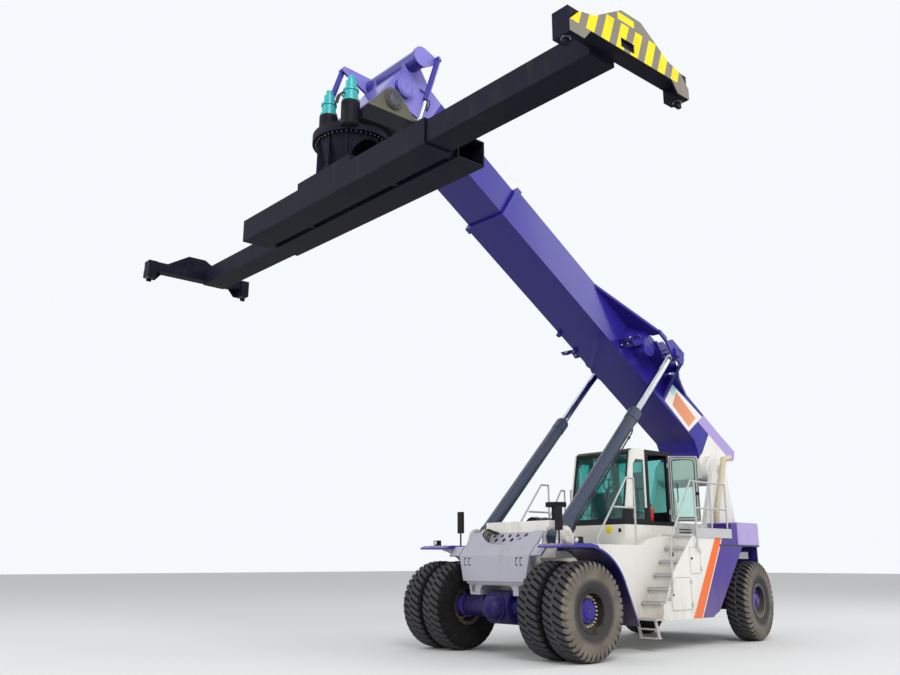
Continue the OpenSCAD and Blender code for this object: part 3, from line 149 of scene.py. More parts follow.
class PaintColours(PropertyGroup):
    violet: colour("Violet", "Paint of the boom, axles and fenders", srgb(46, 36, 146))
    white: colour("White", "Paint of the frame, tanks and bonnet", srgb(238, 236, 228))
    lavender: colour("Lavender", "Bevelled cover and the strip along the boom's tail", srgb(176, 158, 216))
    head: colour("Head lavender", "Cheeks and levers of the boom's head", srgb(128, 122, 208))
    salmon: colour("Salmon", "Blank panel of the placards", srgb(238, 152, 112))
    aqua: colour("Aqua", "Corner of the placards", srgb(150, 214, 214))
    yoke: colour("Yoke grey", "Paint of the yoke", srgb(102, 99, 86))
    tyre_dust: colour("Tyre dust", "Dust on the tyres' walls", srgb(132, 124, 115))
    lilac: colour("Lilac grey", "Paint of the nose plates", srgb(170, 169, 182))
    orange: colour("Orange", "The slanted stripe on the side", srgb(255, 110, 8))
    purple: colour("Purple", "Panel behind the stripe", srgb(62, 36, 142))
    navy: colour("Navy", "Paint of the spreader", srgb(19, 20, 36))
    plate: colour("Plate grey", "End plates of the spreader", srgb(138, 132, 122))
    yellow: colour("Yellow", "Stripes on the end plates", srgb(250, 226, 34))
    teal: colour("Teal", "Slewing motors", srgb(22, 172, 176))
    barrel: colour("Cylinder grey", "Barrels of the lift cylinders", srgb(52, 62, 84))
    dust: colour("Dust", "Dry dust on tyres and flat places", srgb(176, 158, 132))


class FittingSizes(PropertyGroup):
    stud_radius: FloatProperty(name="Wheel stud", description="Radius of a wheel stud",
                               default=0.018, unit="LENGTH")
    stud_circle: FloatProperty(name="Stud circle", description="Radius of the ring of wheel studs",
                               default=0.256, unit="LENGTH")
    studs: IntProperty(name="Studs", description="Studs on one wheel", default=24, min=6, max=40)
    lugs: IntProperty(name="Lugs", description="Lugs on one shoulder of a tyre", default=40, min=20, max=60)
    ring_bolts: IntProperty(name="Ring bolts", description="Bolts round the slewing ring",
                            default=48, min=12, max=90)
    hose_radius: FloatProperty(name="Hose", description="Radius of a hydraulic hose",
                               default=0.016, unit="LENGTH")


class StudioSettings(PropertyGroup):
    lens: FloatProperty(name="Lens", description="Focal length of the camera in millimetres", default=34.98)
    floor: colour("Floor", "Colour of the floor", srgb(226, 226, 224))
    key: FloatProperty(name="Key light", description="Power of the large lamp", default=5200)
    fill: FloatProperty(name="Fill light", description="Strength of the light from all round", default=0.62)


# Modelling helpers, all through Blender's own operators

def deselect():
    """Leaves edit mode with nothing selected."""
    if bpy.context.mode != "OBJECT":
        bpy.ops.object.mode_set(mode="OBJECT")
    bpy.ops.object.select_all(action="DESELECT")


def pick(*pieces):
    """Selects the pieces alone and makes the first one active."""
    deselect()
    for piece in pieces:
        piece.select_set(True)
    bpy.context.view_layer.objects.active = pieces[0]


def keep_place(piece):
    """Puts the piece's place, turn and size into its mesh."""
    pick(piece)
    bpy.ops.object.transform_apply(location=True, rotation=True, scale=True)
    return piece


def finish_modifier(piece, kind, **settings):
    """Adds a modifier and applies it."""
    pick(piece)
    modifier = piece.modifiers.new(kind.title(), kind)
    for key, value in settings.items():
        setattr(modifier, key, value)
    bpy.ops.object.modifier_apply(modifier=modifier.name)
    return piece


def rounded_box(low, high, edge=0.004, steps=2):
    """A box between two corners with its edges rounded."""
    low, high = (Vector(min(pair) for pair in zip(low, high)), Vector(max(pair) for pair in zip(low, high)))
    deselect()
    bpy.ops.mesh.primitive_cube_add(size=1, location=(low + high) / 2)
    piece = bpy.context.object
    piece.scale = high - low
    keep_place(piece)
    return finish_modifier(piece, "BEVEL", width=edge, segments=steps) if edge else piece


def boom_box(low, high, edge=0.004):
    """A rounded box whose corners are given along the boom."""
    piece = rounded_box(low, high, edge)
    piece.data.transform(BOOM_TURN)
    return piece


def round_bar(place, axis, radius, length, sides=24, edge=0.0):
    """A cylinder from place along axis, with its rims chamfered."""
    deselect()
    axis = Vector(axis).normalized()
    bpy.ops.mesh.primitive_cylinder_add(
        vertices=sides, radius=radius, depth=length,
        location=Vector(place) + axis * length / 2, rotation=axis.to_track_quat("Z", "Y").to_euler())
    piece = keep_place(bpy.context.object)
    if edge:
        finish_modifier(piece, "BEVEL", width=edge, segments=2, limit_method="ANGLE", angle_limit=1.0)
    return piece


def tube(points, radius, sides=8, bend=0.06):
    """A bent tube through the points, with round bends."""
    deselect()
    bpy.ops.curve.primitive_bezier_curve_add()
    line = bpy.context.object
    line.data.splines.clear()
    spline = line.data.splines.new("POLY")
    path = []
    for i, point in enumerate(points):
        point = Vector(point)
        if 0 < i < len(points) - 1:
            back, ahead = Vector(points[i - 1]) - point, Vector(points[i + 1]) - point
            reach = min(bend, back.length / 2, ahead.length / 2)
            start, end = point + back.normalized() * reach, point + ahead.normalized() * reach
            for k in range(5):
                t = k / 4
                path.append(start * (1 - t) ** 2 + point * 2 * t * (1 - t) + end * t * t)
        else:
            path.append(point)
    spline.points.add(len(path) - 1)
    for knot, place in zip(spline.points, path):
        knot.co = (*place, 1)
    line.data.dimensions = "3D"
    line.data.bevel_depth = radius
    line.data.bevel_resolution = max(0, sides // 4 - 1)
    line.data.use_fill_caps = True
    line.matrix_world = Matrix.Identity(4)
    bpy.ops.object.convert(target="MESH")
    return bpy.context.object


def closed_path(corners):
    """The corners as a path that starts and ends in the middle of the side between the first two."""
    start = tuple((a + b) / 2 for a, b in zip(corners[0], corners[1]))
    return [start, *corners[1:], corners[0], start]


def edit(piece, mode="VERT"):
    """Opens the piece in edit mode with nothing selected."""
    pick(piece)
    bpy.ops.object.mode_set(mode="EDIT")
    bpy.ops.mesh.select_mode(type=mode)
    bpy.ops.mesh.select_all(action="DESELECT")


def lathe(outline, centre, axis="Y", steps=32):
    """Spins an outline of (radius, way along the axis) points round an axis through centre."""
    deselect()
    way = {"X": Vector((1, 0, 0)), "Y": Vector((0, 1, 0)), "Z": Vector((0, 0, 1))}[axis] \
        if isinstance(axis, str) else Vector(axis).normalized()
    out = way.orthogonal().normalized()
    places = [Vector(centre) + out * radius + way * along for radius, along in outline]
    bpy.ops.mesh.primitive_plane_add(size=0.01, location=places[0])
    piece = keep_place(bpy.context.object)
    edit(piece)
    bpy.ops.mesh.select_all(action="SELECT")
    bpy.ops.mesh.merge(type="CENTER")
    for here, there in zip(places, places[1:]):
        bpy.ops.mesh.extrude_region_move(TRANSFORM_OT_translate={"value": there - here})
    bpy.ops.mesh.select_all(action="SELECT")
    bpy.ops.mesh.spin(steps=steps, angle=math.tau, center=centre, axis=way, use_auto_merge=True)
    bpy.ops.mesh.select_all(action="SELECT")
    bpy.ops.mesh.remove_doubles(threshold=0.0002)
    bpy.ops.mesh.normals_make_consistent(inside=False)
    bpy.ops.object.mode_set(mode="OBJECT")
    return piece


def drawn_out(start_low, start_high, moves):
    """A box whose face towards +Y is drawn out along a list of moves."""
    piece = rounded_box(start_low, start_high, 0)
    edit(piece, "FACE")
    bpy.ops.object.mode_set(mode="OBJECT")
    for side in piece.data.polygons:
        side.select = side.normal.y > 0.9
    bpy.ops.object.mode_set(mode="EDIT")
    for move in moves:
        bpy.ops.mesh.extrude_region_move(TRANSFORM_OT_translate={"value": move})
    bpy.ops.mesh.select_all(action="SELECT")
    bpy.ops.mesh.normals_make_consistent(inside=False)
    bpy.ops.object.mode_set(mode="OBJECT")
    return piece


def cap_with_bolts(centre, side, radius, thick, bolts=8, ring=0.66, bolt=0.012):
    """A stepped pin cap with a ring of hexagonal bolts; side says which way it faces."""
    way = Vector((0, side, 0))
    cap = lathe([(0, 0), (radius, 0), (radius, thick * 0.55), (radius * 0.94, thick * 0.7),
                 (radius * 0.9, thick * 0.7), (radius * 0.88, thick * 0.5), (radius * 0.84, thick * 0.5),
                 (radius * 0.82, thick), (radius * 0.3, thick), (radius * 0.26, thick * 0.8),
                 (0, thick * 0.8)],
                centre, way, 36)
    out = way.orthogonal().normalized()
    place = Vector(centre) + way * thick * 0.9 + out * radius * ring
    stud = round_bar(place, way, bolt, thick * 0.1 + 0.012, 6)
    return [cap, *copies(stud, whirl(bolts, way, centre))]


def join(pieces, name):
    """Makes one named piece of several."""
    pick(*pieces)
    if len(pieces) > 1:
        bpy.ops.object.join()
    piece = bpy.context.object
    piece.name = name
    return piece


def twin_of(piece):
    """A copy of the piece with its own mesh."""
    twin = piece.copy()
    twin.data = piece.data.copy()
    bpy.context.scene.collection.objects.link(twin)
    return twin


def copies(piece, moves):
    """The piece once for each matrix; the piece itself goes."""
    made = []
    for move in moves:
        twin = twin_of(piece)
        twin.data.transform(move)
        if move.determinant() < 0:
            twin.data.flip_normals()
        made.append(twin)
    bpy.data.objects.remove(piece)
    return made


def place_on(piece, body, finish):
    """Names the piece's finish and the body that it rides on."""
    pick(piece)
    bpy.ops.object.shade_smooth_by_angle(angle=math.radians(35))
    piece.data.materials.clear()
    piece.data.materials.append(FINISHES[finish])
    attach(piece, body)
    return piece


def turned(angle, axis, centre):
    """The matrix of a turn round an axis through centre."""
    centre = Vector(centre)
    return Matrix.Translation(centre) @ Matrix.Rotation(angle, 4, axis) @ Matrix.Translation(-centre)


def whirl(count, axis, centre):
    """Matrices that spread copies evenly round an axis through centre."""
    return [turned(math.tau * k / count, axis, centre) for k in range(count)]


def mirrored(side):
    """Leaves what is on the left there (side 1), or takes it to the right (side -1)."""
    return Matrix.Diagonal((1, side, 1, 1))


# Shader helpers: a wire stands for a socket and takes part in sums

class Wire:
    def __init__(self, recipe, socket):
        self.recipe = recipe
        self.socket = socket

    def sum(self, operation, first, second):
        return self.recipe.node("Math", {"operation": operation}, {0: first, 1: second})

    def __add__(self, other):
        return self.sum("ADD", self, other)

    def __radd__(self, other):
        return self.sum("ADD", other, self)

    def __sub__(self, other):
        return self.sum("SUBTRACT", self, other)

    def __rsub__(self, other):
        return self.sum("SUBTRACT", other, self)

    def __mul__(self, other):
        return self.sum("MULTIPLY", self, other)

    def __rmul__(self, other):
        return self.sum("MULTIPLY", other, self)

    def __truediv__(self, other):
        return self.sum("DIVIDE", self, other)

    def __gt__(self, other):
        return self.sum("GREATER_THAN", self, other)

    def __lt__(self, other):
        return self.sum("LESS_THAN", self, other)

    def __pow__(self, other):
        return self.sum("POWER", self, other)

    def __abs__(self):
        return self.recipe.node("Math", {"operation": "ABSOLUTE"}, {0: self})

    def fraction(self):
        return self.recipe.node("Math", {"operation": "FRACT"}, {0: self})

    def held(self):
        return self.recipe.node("Clamp", {}, {"Value": self})

    def eased(self, low, high):
        """0 below low, 1 above high, smooth between."""
        return self.recipe.node("MapRange", {"interpolation_type": "SMOOTHSTEP"},
                                {"Value": self, "From Min": low, "From Max": high})


class Recipe:
    """One material, made node by node."""

    def __init__(self, name, metallic=0.0, roughness=0.4, **numbers):
        self.material = bpy.data.materials.new(name)
        self.material.use_nodes = True
        self.tree = self.material.node_tree
        self.shader = next(n for n in self.tree.nodes if n.type == "BSDF_PRINCIPLED")
        self.shader.inputs["Metallic"].default_value = metallic
        self.shader.inputs["Roughness"].default_value = roughness
        for key, value in numbers.items():
            self.shader.inputs[key.replace("_", " ")].default_value = value
        self.place = self.node("TexCoord", {}, {}, "Object")

    def node(self, kind, settings, values, output=0):
        made = self.tree.nodes.new("ShaderNode" + kind)
        for key, value in settings.items():
            setattr(made, key, value)
        for key, value in values.items():
            if isinstance(value, Wire):
                self.tree.links.new(value.socket, made.inputs[key])
            else:
                made.inputs[key].default_value = value
        return Wire(self, made.outputs[output])

    def noise(self, scale, detail=3.0, roughness=0.5, stretch=(1, 1, 1)):
        place = self.node("Mapping", {}, {"Vector": self.place, "Scale": stretch})
        return self.node("TexNoise", {}, {"Vector": place, "Scale": scale, "Detail": detail,
                                          "Roughness": roughness})

    def along(self, axis):
        return self.node("SeparateXYZ", {}, {0: self.place}, "XYZ".index(axis))

    def facing(self, axis="Z"):
        return self.node("SeparateXYZ", {}, {0: self.node("NewGeometry", {}, {}, "Normal")},
                         "XYZ".index(axis))

    def boom_place(self):
        """Wires for the way along the boom and for the height square to it."""
        across, height = self.along("X") - HINGE.x, self.along("Z") - HINGE.z
        cosine, sine = math.cos(BOOM_TILT), math.sin(BOOM_TILT)
        return across * cosine + height * sine, height * cosine - across * sine

    def within(self, first, second, corners):
        """1 inside a convex outline whose corners run anticlockwise, else 0."""
        inside = 1.0
        for here, there in zip(corners, corners[1:] + corners[:1]):
            run, rise = there[0] - here[0], there[1] - here[1]
            inside = (second * run - first * rise > here[1] * run - here[0] * rise) * inside
        return inside

    def blend(self, factor, first, second):
        """first where factor is 0, second where it is 1."""
        def fit(value):
            return value if isinstance(value, Wire) else (*value[:3], 1)
        return self.node("Mix", {"data_type": "RGBA"}, {0: factor, 6: fit(first), 7: fit(second)}, 2)

    def feed(self, socket, value):
        if isinstance(value, Wire):
            self.tree.links.new(value.socket, self.shader.inputs[socket])
        else:
            self.shader.inputs[socket].default_value = (*value, 1) if isinstance(value, tuple) else value

    def relief(self, height, strength, distance):
        bump = self.node("Bump", {}, {"Height": height, "Strength": strength, "Distance": distance})
        self.feed("Normal", bump)


FINISHES = {}


def dim(shade, factor):
    return tuple(value * factor for value in shade)


def weathered_with_painted_shade(name, shade, dust=0.25, roughness=0.3, coat=0.25, streaks=0.3, sheen=0.4, pattern=None):
    """Works paint: faint clouds, rain streaks, dust on what faces up and low down, painted shade on what faces
    down, orange peel.
    """
    paint = Recipe(name, roughness=roughness, Coat_Roughness=0.12, Coat_Weight=coat, Specular_IOR_Level=sheen)
    colours = bpy.context.scene.paint_colours
    clouds = paint.noise(0.9, 4.0, 0.6)
    grime = paint.noise(3.2, 6.0, 0.65, (1, 1, 0.22))
    specks = paint.noise(46.0, 4.0, 0.7)
    tone = shade if pattern is None else pattern(paint, shade)
    tone = paint.blend(clouds.eased(0.35, 0.75) * 0.22, tone, dim(shade, 0.72) if pattern is None else tone)
    tone = paint.blend(grime.eased(0.52, 0.78) * streaks, tone, (0.05, 0.045, 0.04))
    low = 1 - paint.along("Z").eased(0.35, 1.7)
    up = paint.facing().eased(0.55, 0.98)
    layer = ((low * 0.55 + up * 0.75) * grime.eased(0.3, 0.62) * dust * 1.8).held()
    tone = paint.blend(layer, tone, tuple(colours.dust))
    # painted shade: what faces down is darkened towards a third of its paint colour
    tone = paint.blend((0 - paint.facing()).eased(0.25, 0.8) * 0.55, tone, dim(shade, 0.3))
    tone = paint.blend(specks.eased(0.66, 0.74) * 0.35 * dust, tone, (0.08, 0.06, 0.045))
    paint.feed("Base Color", tone)
    paint.feed("Roughness", (roughness + layer * 0.4 + specks.eased(0.4, 0.8) * 0.12 + clouds * 0.08).held())
    paint.relief(paint.noise(95.0, 2.0) * 0.12 + specks.eased(0.66, 0.74) * -0.3, 0.35, 0.0012)
    FINISHES[name] = paint.material
    return paint


class STACKER_OT_mix_finishes(Operator):
    """Mixes every paint, metal, rubber and glass of the machine"""
    bl_idname = "stacker.mix_finishes"
    bl_label = "Mix the finishes"

    STRIPE_LEAN, STRIPE_STEP = 0.35, 0.285

    def execute(self, context):
        colours = context.scene.paint_colours
        violet, white, navy = tuple(colours.violet), tuple(colours.white), tuple(colours.navy)
        dust = tuple(colours.dust)
        weathered_with_painted_shade("violet_paint", violet, 0.22, 0.3, 0.25, 0.25, 0.3)
        weathered_with_painted_shade("white_paint", white, 0.45, 0.36, 0.2, 0.32)
        weathered_with_painted_shade("lilac_paint", tuple(colours.lilac), 0.35, 0.34, 0.25, 0.3)
        weathered_with_painted_shade("navy_paint", navy, 0.15, 0.5, 0.0, 0.4, 0.1)
        weathered_with_painted_shade("axle_paint", srgb(27, 21, 88), 0.1, 0.4, 0.05, 0.3, 0.15)
        weathered_with_painted_shade("barrel_paint", tuple(colours.barrel), 0.2, 0.34, 0.25, 0.3)
        weathered_with_painted_shade("teal_paint", tuple(colours.teal), 0.15, 0.34, 0.3, 0.2)
        weathered_with_painted_shade("black_paint", srgb(24, 24, 27), 0.2, 0.45, 0.05, 0.2, 0.15)
        weathered_with_painted_shade("cream_paint", srgb(214, 202, 172), 0.2, 0.55, 0.05, 0.5)
        weathered_with_painted_shade("rail_paint", srgb(196, 197, 196), 0.4, 0.42, 0.1, 0.35)
        weathered_with_painted_shade("door_paint", srgb(176, 180, 178), 0.3, 0.38, 0.2, 0.2)
        weathered_with_painted_shade("engine_paint", srgb(88, 90, 92), 0.5, 0.6, 0.0, 0.6)
        weathered_with_painted_shade("yellow_paint", tuple(colours.yellow), 0.35, 0.45, 0.1, 0.4)
        weathered_with_painted_shade("stud_paint", srgb(226, 222, 208), 0.2, 0.4, 0.1, 0.15)
        weathered_with_painted_shade("lavender_paint", tuple(colours.head), 0.1, 0.28, 0.4, 0.15)
        weathered_with_painted_shade("red_paint", srgb(196, 24, 20), 0.1, 0.25, 0.4, 0.1)
        weathered_with_painted_shade("grey_box_paint", srgb(70, 72, 76), 0.3, 0.45, 0.1, 0.3)
        self.side_panel(colours)
        self.boom_sides(colours)
        self.end_plates(colours)
        self.rods()
        self.rubber(dust)
        self.rims(colours)
        self.glass()
        self.plastics()
        return {"FINISHED"}

    def side_panel(self, colours):
        """Slanted orange stripe before the joint; white line, purple panel and lavender cover behind it."""
        orange, purple, white = tuple(colours.orange), tuple(colours.purple), tuple(colours.white)
        lilac, lavender, dark = tuple(colours.lilac), tuple(colours.lavender), srgb(30, 26, 60)

        def behind_joint(paint):
            # how far a point is behind the slanted joint between the tank and the panel
            back, down = 0.867, 0.498
            return paint.along("X") * -back - paint.along("Z") * down - (2.4017 * back - 0.56 * down)

        def tank(paint, shade):
            behind = behind_joint(paint) - paint.along("Z") * 0.031
            return paint.blend((behind > -0.275) * (abs(paint.along("Y")) > 1.68), shade, orange)

        def fender(paint, shade):
            cover_front, cover_foot = -3.93, 1.985
            behind, high = behind_joint(paint), paint.along("Z")
            side = abs(paint.along("Y")) > 1.196
            tone = paint.blend(side * (paint.along("X") > cover_front), shade, purple)
            tone = paint.blend((behind < 0.025) * side, tone, white)
            tone = paint.blend((high > 1.94) * (high < cover_foot), tone, dark)
            return paint.blend((high > cover_foot) * (paint.along("X") < cover_front), tone, lavender)

        def wedge(paint, shade):
            # painted shade: the arch's inside, whose faces look towards the axle, is darkened
            reach_x, reach_z = paint.along("X") - AXLE.x, paint.along("Z") - AXLE.z
            inward_painted_shade = paint.facing("X") * reach_x + paint.facing("Z") * reach_z < -0.3
            tone = paint.blend(inward_painted_shade, shade, dim(shade, 0.22))
            return paint.blend(abs(paint.along("Y")) < 1.2, tone, lilac)

        def pillar(paint, shade):
            along, high = paint.along("X"), paint.along("Z")
            side = (abs(paint.along("Y")) > 0.71) * (along > at(-3.42, 0, 0).x)
            return paint.blend(side * (high + paint.noise(3.0) * 0.1 > 2.78), shade, white)
        weathered_with_painted_shade("tank_paint", white, 0.35, 0.36, 0.2, 0.22, pattern=tank)
        weathered_with_painted_shade("fender_paint", tuple(colours.violet), 0.25, 0.3, 0.35, 0.2, pattern=fender)
        weathered_with_painted_shade("wedge_paint", tuple(colours.violet), 0.25, 0.3, 0.35, 0.2, pattern=wedge)
        weathered_with_painted_shade("cab_paint", srgb(24, 24, 27), 0.12, 0.42, 0.1, 0.15, 0.15, pattern=pillar)

    def boom_sides(self, colours):
        """Violet boom with a blank placard on each side and a white tail."""
        white, lavender, salmon = tuple(colours.white), tuple(colours.lavender), tuple(colours.salmon)

        def placard(paint, shade):
            along, high = paint.boom_place()
            side = abs(paint.facing("Y")) > 0.7
            card = paint.within(along, high, [(0.777, 0.981), (1.061, 0.319), (2.12, 0.378), (2.055, 0.914)])
            panel = paint.within(along, high, PLACARD_PANEL)
            tail = paint.within(along, high, [(-0.9, 0.77), (-0.9, -0.4), (0.425, -0.4), (0.374, 0.77)])
            strip = paint.within(along, high, [(-0.9, 1.2), (-0.9, 0.77), (0.86, 0.77), (0.69, 1.2)])
            boss = along * along + high * high < 0.2
            corner = paint.within(along, high, [(1.9, 0.95), (1.9, 0.7), (2.12, 0.7), (2.12, 0.95)])
            tone = paint.blend(strip * side, shade, lavender)
            tone = paint.blend(tail * side, tone, white)
            tone = paint.blend(boss, tone, white)
            tone = paint.blend(card * side, tone, white)
            tone = paint.blend(card * corner * side * 0.8, tone, tuple(colours.aqua))
            fade = paint.blend((along - 1.0).held(), salmon, dim(salmon, 0.82))
            return paint.blend(panel * side, tone, fade)

        def box_below(paint, shade):
            # only the cheeks are grey, not the box under them and the motors' pots
            low_down, ahead = paint.along("Z") < YOKE_LOW.z + 0.40, paint.along("X") > MOTOR_X - 0.2
            return paint.blend((low_down + ahead).held(), shade, srgb(16, 17, 26))
        def cheeks(paint, shade):
            return paint.blend(abs(paint.facing("Y")).eased(0.6, 0.9), shade, tuple(colours.head))
        weathered_with_painted_shade("head_paint", tuple(colours.violet), 0.1, 0.26, 0.5, 0.15, pattern=cheeks)
        weathered_with_painted_shade("boom_paint", tuple(colours.violet), 0.16, 0.3, 0.2, 0.2, 0.25, pattern=placard)
        weathered_with_painted_shade("yoke_paint", tuple(colours.yoke), 0.12, 0.52, 0.0, 0.4, 0.15, pattern=box_below)

    def end_plates(self, colours):
        """Navy beams whose end plates are grey with slanted yellow stripes and a yellow bar."""
        plate, yellow = tuple(colours.plate), tuple(colours.yellow)
        low = ARM_LOW.z

        def stripes(paint, shade):
            along, high = paint.along("X"), paint.along("Z")
            outer = abs(paint.along("Y")) > 6.122
            tone = paint.blend(outer, shade, plate)
            # STRIPE_STEP apart, leaning by STRIPE_LEAN
            way = (along + high * self.STRIPE_LEAN) / self.STRIPE_STEP
            band = (way.fraction() < 0.53) * (high > low + 0.245) * (high < low + 0.625)
            band = band * (along > AXLE.x + 2.64)
            tone = paint.blend(outer * band, tone, yellow)
            bar = (along > AXLE.x + 3.67) * (along < AXLE.x + 4.0) * (high > low + 0.66) * (high < low + 0.76)
            return paint.blend(outer * bar, tone, yellow)
        weathered_with_painted_shade("arm_paint", tuple(colours.navy), 0.15, 0.5, 0.0, 0.4, 0.1, pattern=stripes)

    def rods(self):
        rod = Recipe("chrome_rod", metallic=1.0, roughness=0.12)
        wipe = rod.noise(5.0, 4.0, 0.6, (1, 1, 3))
        tone = rod.blend(wipe.eased(0.45, 0.8) * 0.4, srgb(214, 216, 220), srgb(150, 152, 156))
        rod.feed("Base Color", tone)
        rod.feed("Roughness", 0.1 + wipe.eased(0.4, 0.8) * 0.16)
        FINISHES["chrome_rod"] = rod.material
        steel = Recipe("bare_steel", metallic=1.0, roughness=0.38)
        spots = steel.noise(30.0, 5.0, 0.7)
        steel.feed("Base Color", steel.blend(spots.eased(0.5, 0.75), srgb(170, 170, 168), srgb(116, 92, 72)))
        steel.feed("Roughness", 0.3 + spots * 0.35)
        FINISHES["bare_steel"] = steel.material

    def rubber(self, dust):
        for name, centre, turn in (("tyre_rubber", AXLE, 0.0), ("steer_rubber_left", STEER, STEER_TURN),
                                   ("steer_rubber_right", STEER_RIGHT, STEER_TURN)):
            rubber = Recipe(name, roughness=0.85, Specular_IOR_Level=0.15)
            place = rubber.node("Mapping", {"vector_type": "TEXTURE"},
                                {"Vector": rubber.place, "Location": centre, "Rotation": (0, 0, turn)})
            across = rubber.node("SeparateXYZ", {}, {0: place}, 0)
            height = rubber.node("SeparateXYZ", {}, {0: place}, 2)
            reach = (across * across + height * height) ** 0.5
            # only the wall that faces away from the machine is dusty
            side = rubber.along("Y")
            outward = rubber.facing("Y") * ((side > 0.0) * 2.0 - 1.0)
            wall = outward.eased(0.45, 0.8) * (abs(side) > (1.5 if turn else 1.75))
            film = rubber.noise(2.6, 6.0, 0.62)
            grains = rubber.noise(60.0, 4.0, 0.7)
            ring = reach.eased(0.45, 0.57)
            cover = wall * ring * (0.6 + film.eased(0.3, 0.7) * 0.4)
            cover = (cover + (1 - wall) * film.eased(0.4, 0.8) * 0.05).held()
            lugs = reach.eased(TYRE_R - 0.05, TYRE_R - 0.012)
            tone = rubber.blend(lugs, srgb(20, 20, 22), srgb(62, 62, 66))
            tone = rubber.blend(wall * (1 - ring), tone, srgb(66, 65, 66))
            tone = rubber.blend(cover, tone, tuple(bpy.context.scene.paint_colours.tyre_dust))
            tone = rubber.blend(grains.eased(0.5, 0.7) * 0.25, tone, dim(dust, 0.4))
            rubber.feed("Base Color", tone)
            rubber.feed("Roughness", 0.78 + cover * 0.16)
            ribs = (reach * 46.0).fraction() - 0.5
            moulded = abs(ribs).eased(0.1, 0.4) * (reach > 0.42) * (reach < 0.52)
            rubber.relief(moulded * 0.6 + grains * 0.25, 0.5, 0.003)
            FINISHES[name] = rubber.material
        hose = Recipe("hose_rubber", roughness=0.6)
        scuffs = hose.noise(24.0, 4.0, 0.6)
        hose.feed("Base Color", hose.blend(scuffs.eased(0.5, 0.8) * 0.6, srgb(20, 20, 21), srgb(62, 60, 56)))
        hose.feed("Roughness", 0.5 + scuffs * 0.3)
        FINISHES["hose_rubber"] = hose.material

    def rims(self, colours):
        """Black dished rims with a violet hub; the steered rims are violet inside a black flange."""
        violet, black = tuple(colours.violet), srgb(24, 24, 27)
        hub_r, ring_r, flange_r = 0.217, 0.293, 0.285

        def reach(paint, centre):
            across, height = paint.along("X") - centre.x, paint.along("Z") - centre.z
            return (across * across + height * height) ** 0.5

        def hub(paint, shade):
            out = reach(paint, AXLE)
            return paint.blend(out < hub_r, paint.blend(out < ring_r, black, tuple(colours.white)), violet)

        def flange(paint, shade):
            return paint.blend(reach(paint, STEER) > flange_r, shade, black)
        weathered_with_painted_shade("rim_paint", black, 0.16, 0.4, 0.1, 0.2, 0.2, pattern=hub)
        weathered_with_painted_shade("steer_rim_paint", violet, 0.2, 0.36, 0.3, 0.25, pattern=flange)

    def glass(self):
        for name, tint, clear in (("cab_glazing", srgb(120, 204, 198), 0.94),
                                  ("door_glazing", srgb(196, 232, 222), 0.9)):
            pane = Recipe(name, roughness=0.03, IOR=1.46, Transmission_Weight=clear)
            film = pane.noise(2.2, 5.0, 0.6)
            pane.feed("Base Color", pane.blend(film.eased(0.45, 0.75) * 0.35, tint, dim(tint, 0.6)))
            pane.feed("Roughness", 0.02 + film.eased(0.5, 0.8) * 0.1)
            FINISHES[name] = pane.material
        lens = Recipe("lamp_lens", roughness=0.08, IOR=1.5, Coat_Weight=0.6)
        grooves = abs((lens.along("Z") * 60.0).fraction() - 0.5)
        lens.feed("Base Color", lens.blend(grooves * 0.5, srgb(232, 236, 238), srgb(176, 184, 190)))
        lens.relief(grooves, 0.4, 0.002)
        FINISHES["lamp_lens"] = lens.material
        amber = Recipe("amber_lens", roughness=0.15, Coat_Weight=0.6)
        rings = amber.noise(40.0, 2.0)
        amber.feed("Base Color", amber.blend(rings, srgb(255, 140, 10), srgb(225, 96, 6)))
        FINISHES["amber_lens"] = amber.material
        mirror = Recipe("mirror_face", metallic=1.0, roughness=0.04)
        haze = mirror.noise(6.0, 3.0)
        mirror.feed("Base Color", mirror.blend(haze * 0.3, srgb(226, 230, 234), srgb(180, 186, 192)))
        mirror.feed("Roughness", 0.03 + haze.eased(0.5, 0.8) * 0.12)
        FINISHES["mirror_face"] = mirror.material

    def plastics(self):
        trim = Recipe("cab_trim", roughness=0.6)
        grain = trim.noise(140.0, 3.0, 0.6)
        trim.feed("Base Color", trim.blend(grain * 0.5, srgb(44, 45, 48), srgb(28, 28, 30)))
        trim.feed("Roughness", 0.5 + grain * 0.25)
        trim.relief(grain, 0.4, 0.001)
        FINISHES["cab_trim"] = trim.material
        cloth = Recipe("seat_cloth", roughness=0.9, Sheen_Weight=0.3)
        weave = cloth.node("TexWave", {"bands_direction": "DIAGONAL"},
                           {"Vector": cloth.place, "Scale": 160.0, "Distortion": 1.0})
        patches = cloth.noise(9.0, 4.0)
        cloth.feed("Base Color", cloth.blend(weave * 0.4 + patches * 0.4, srgb(40, 44, 54), srgb(70, 74, 84)))
        cloth.relief(weave, 0.5, 0.0012)
        FINISHES["seat_cloth"] = cloth.material


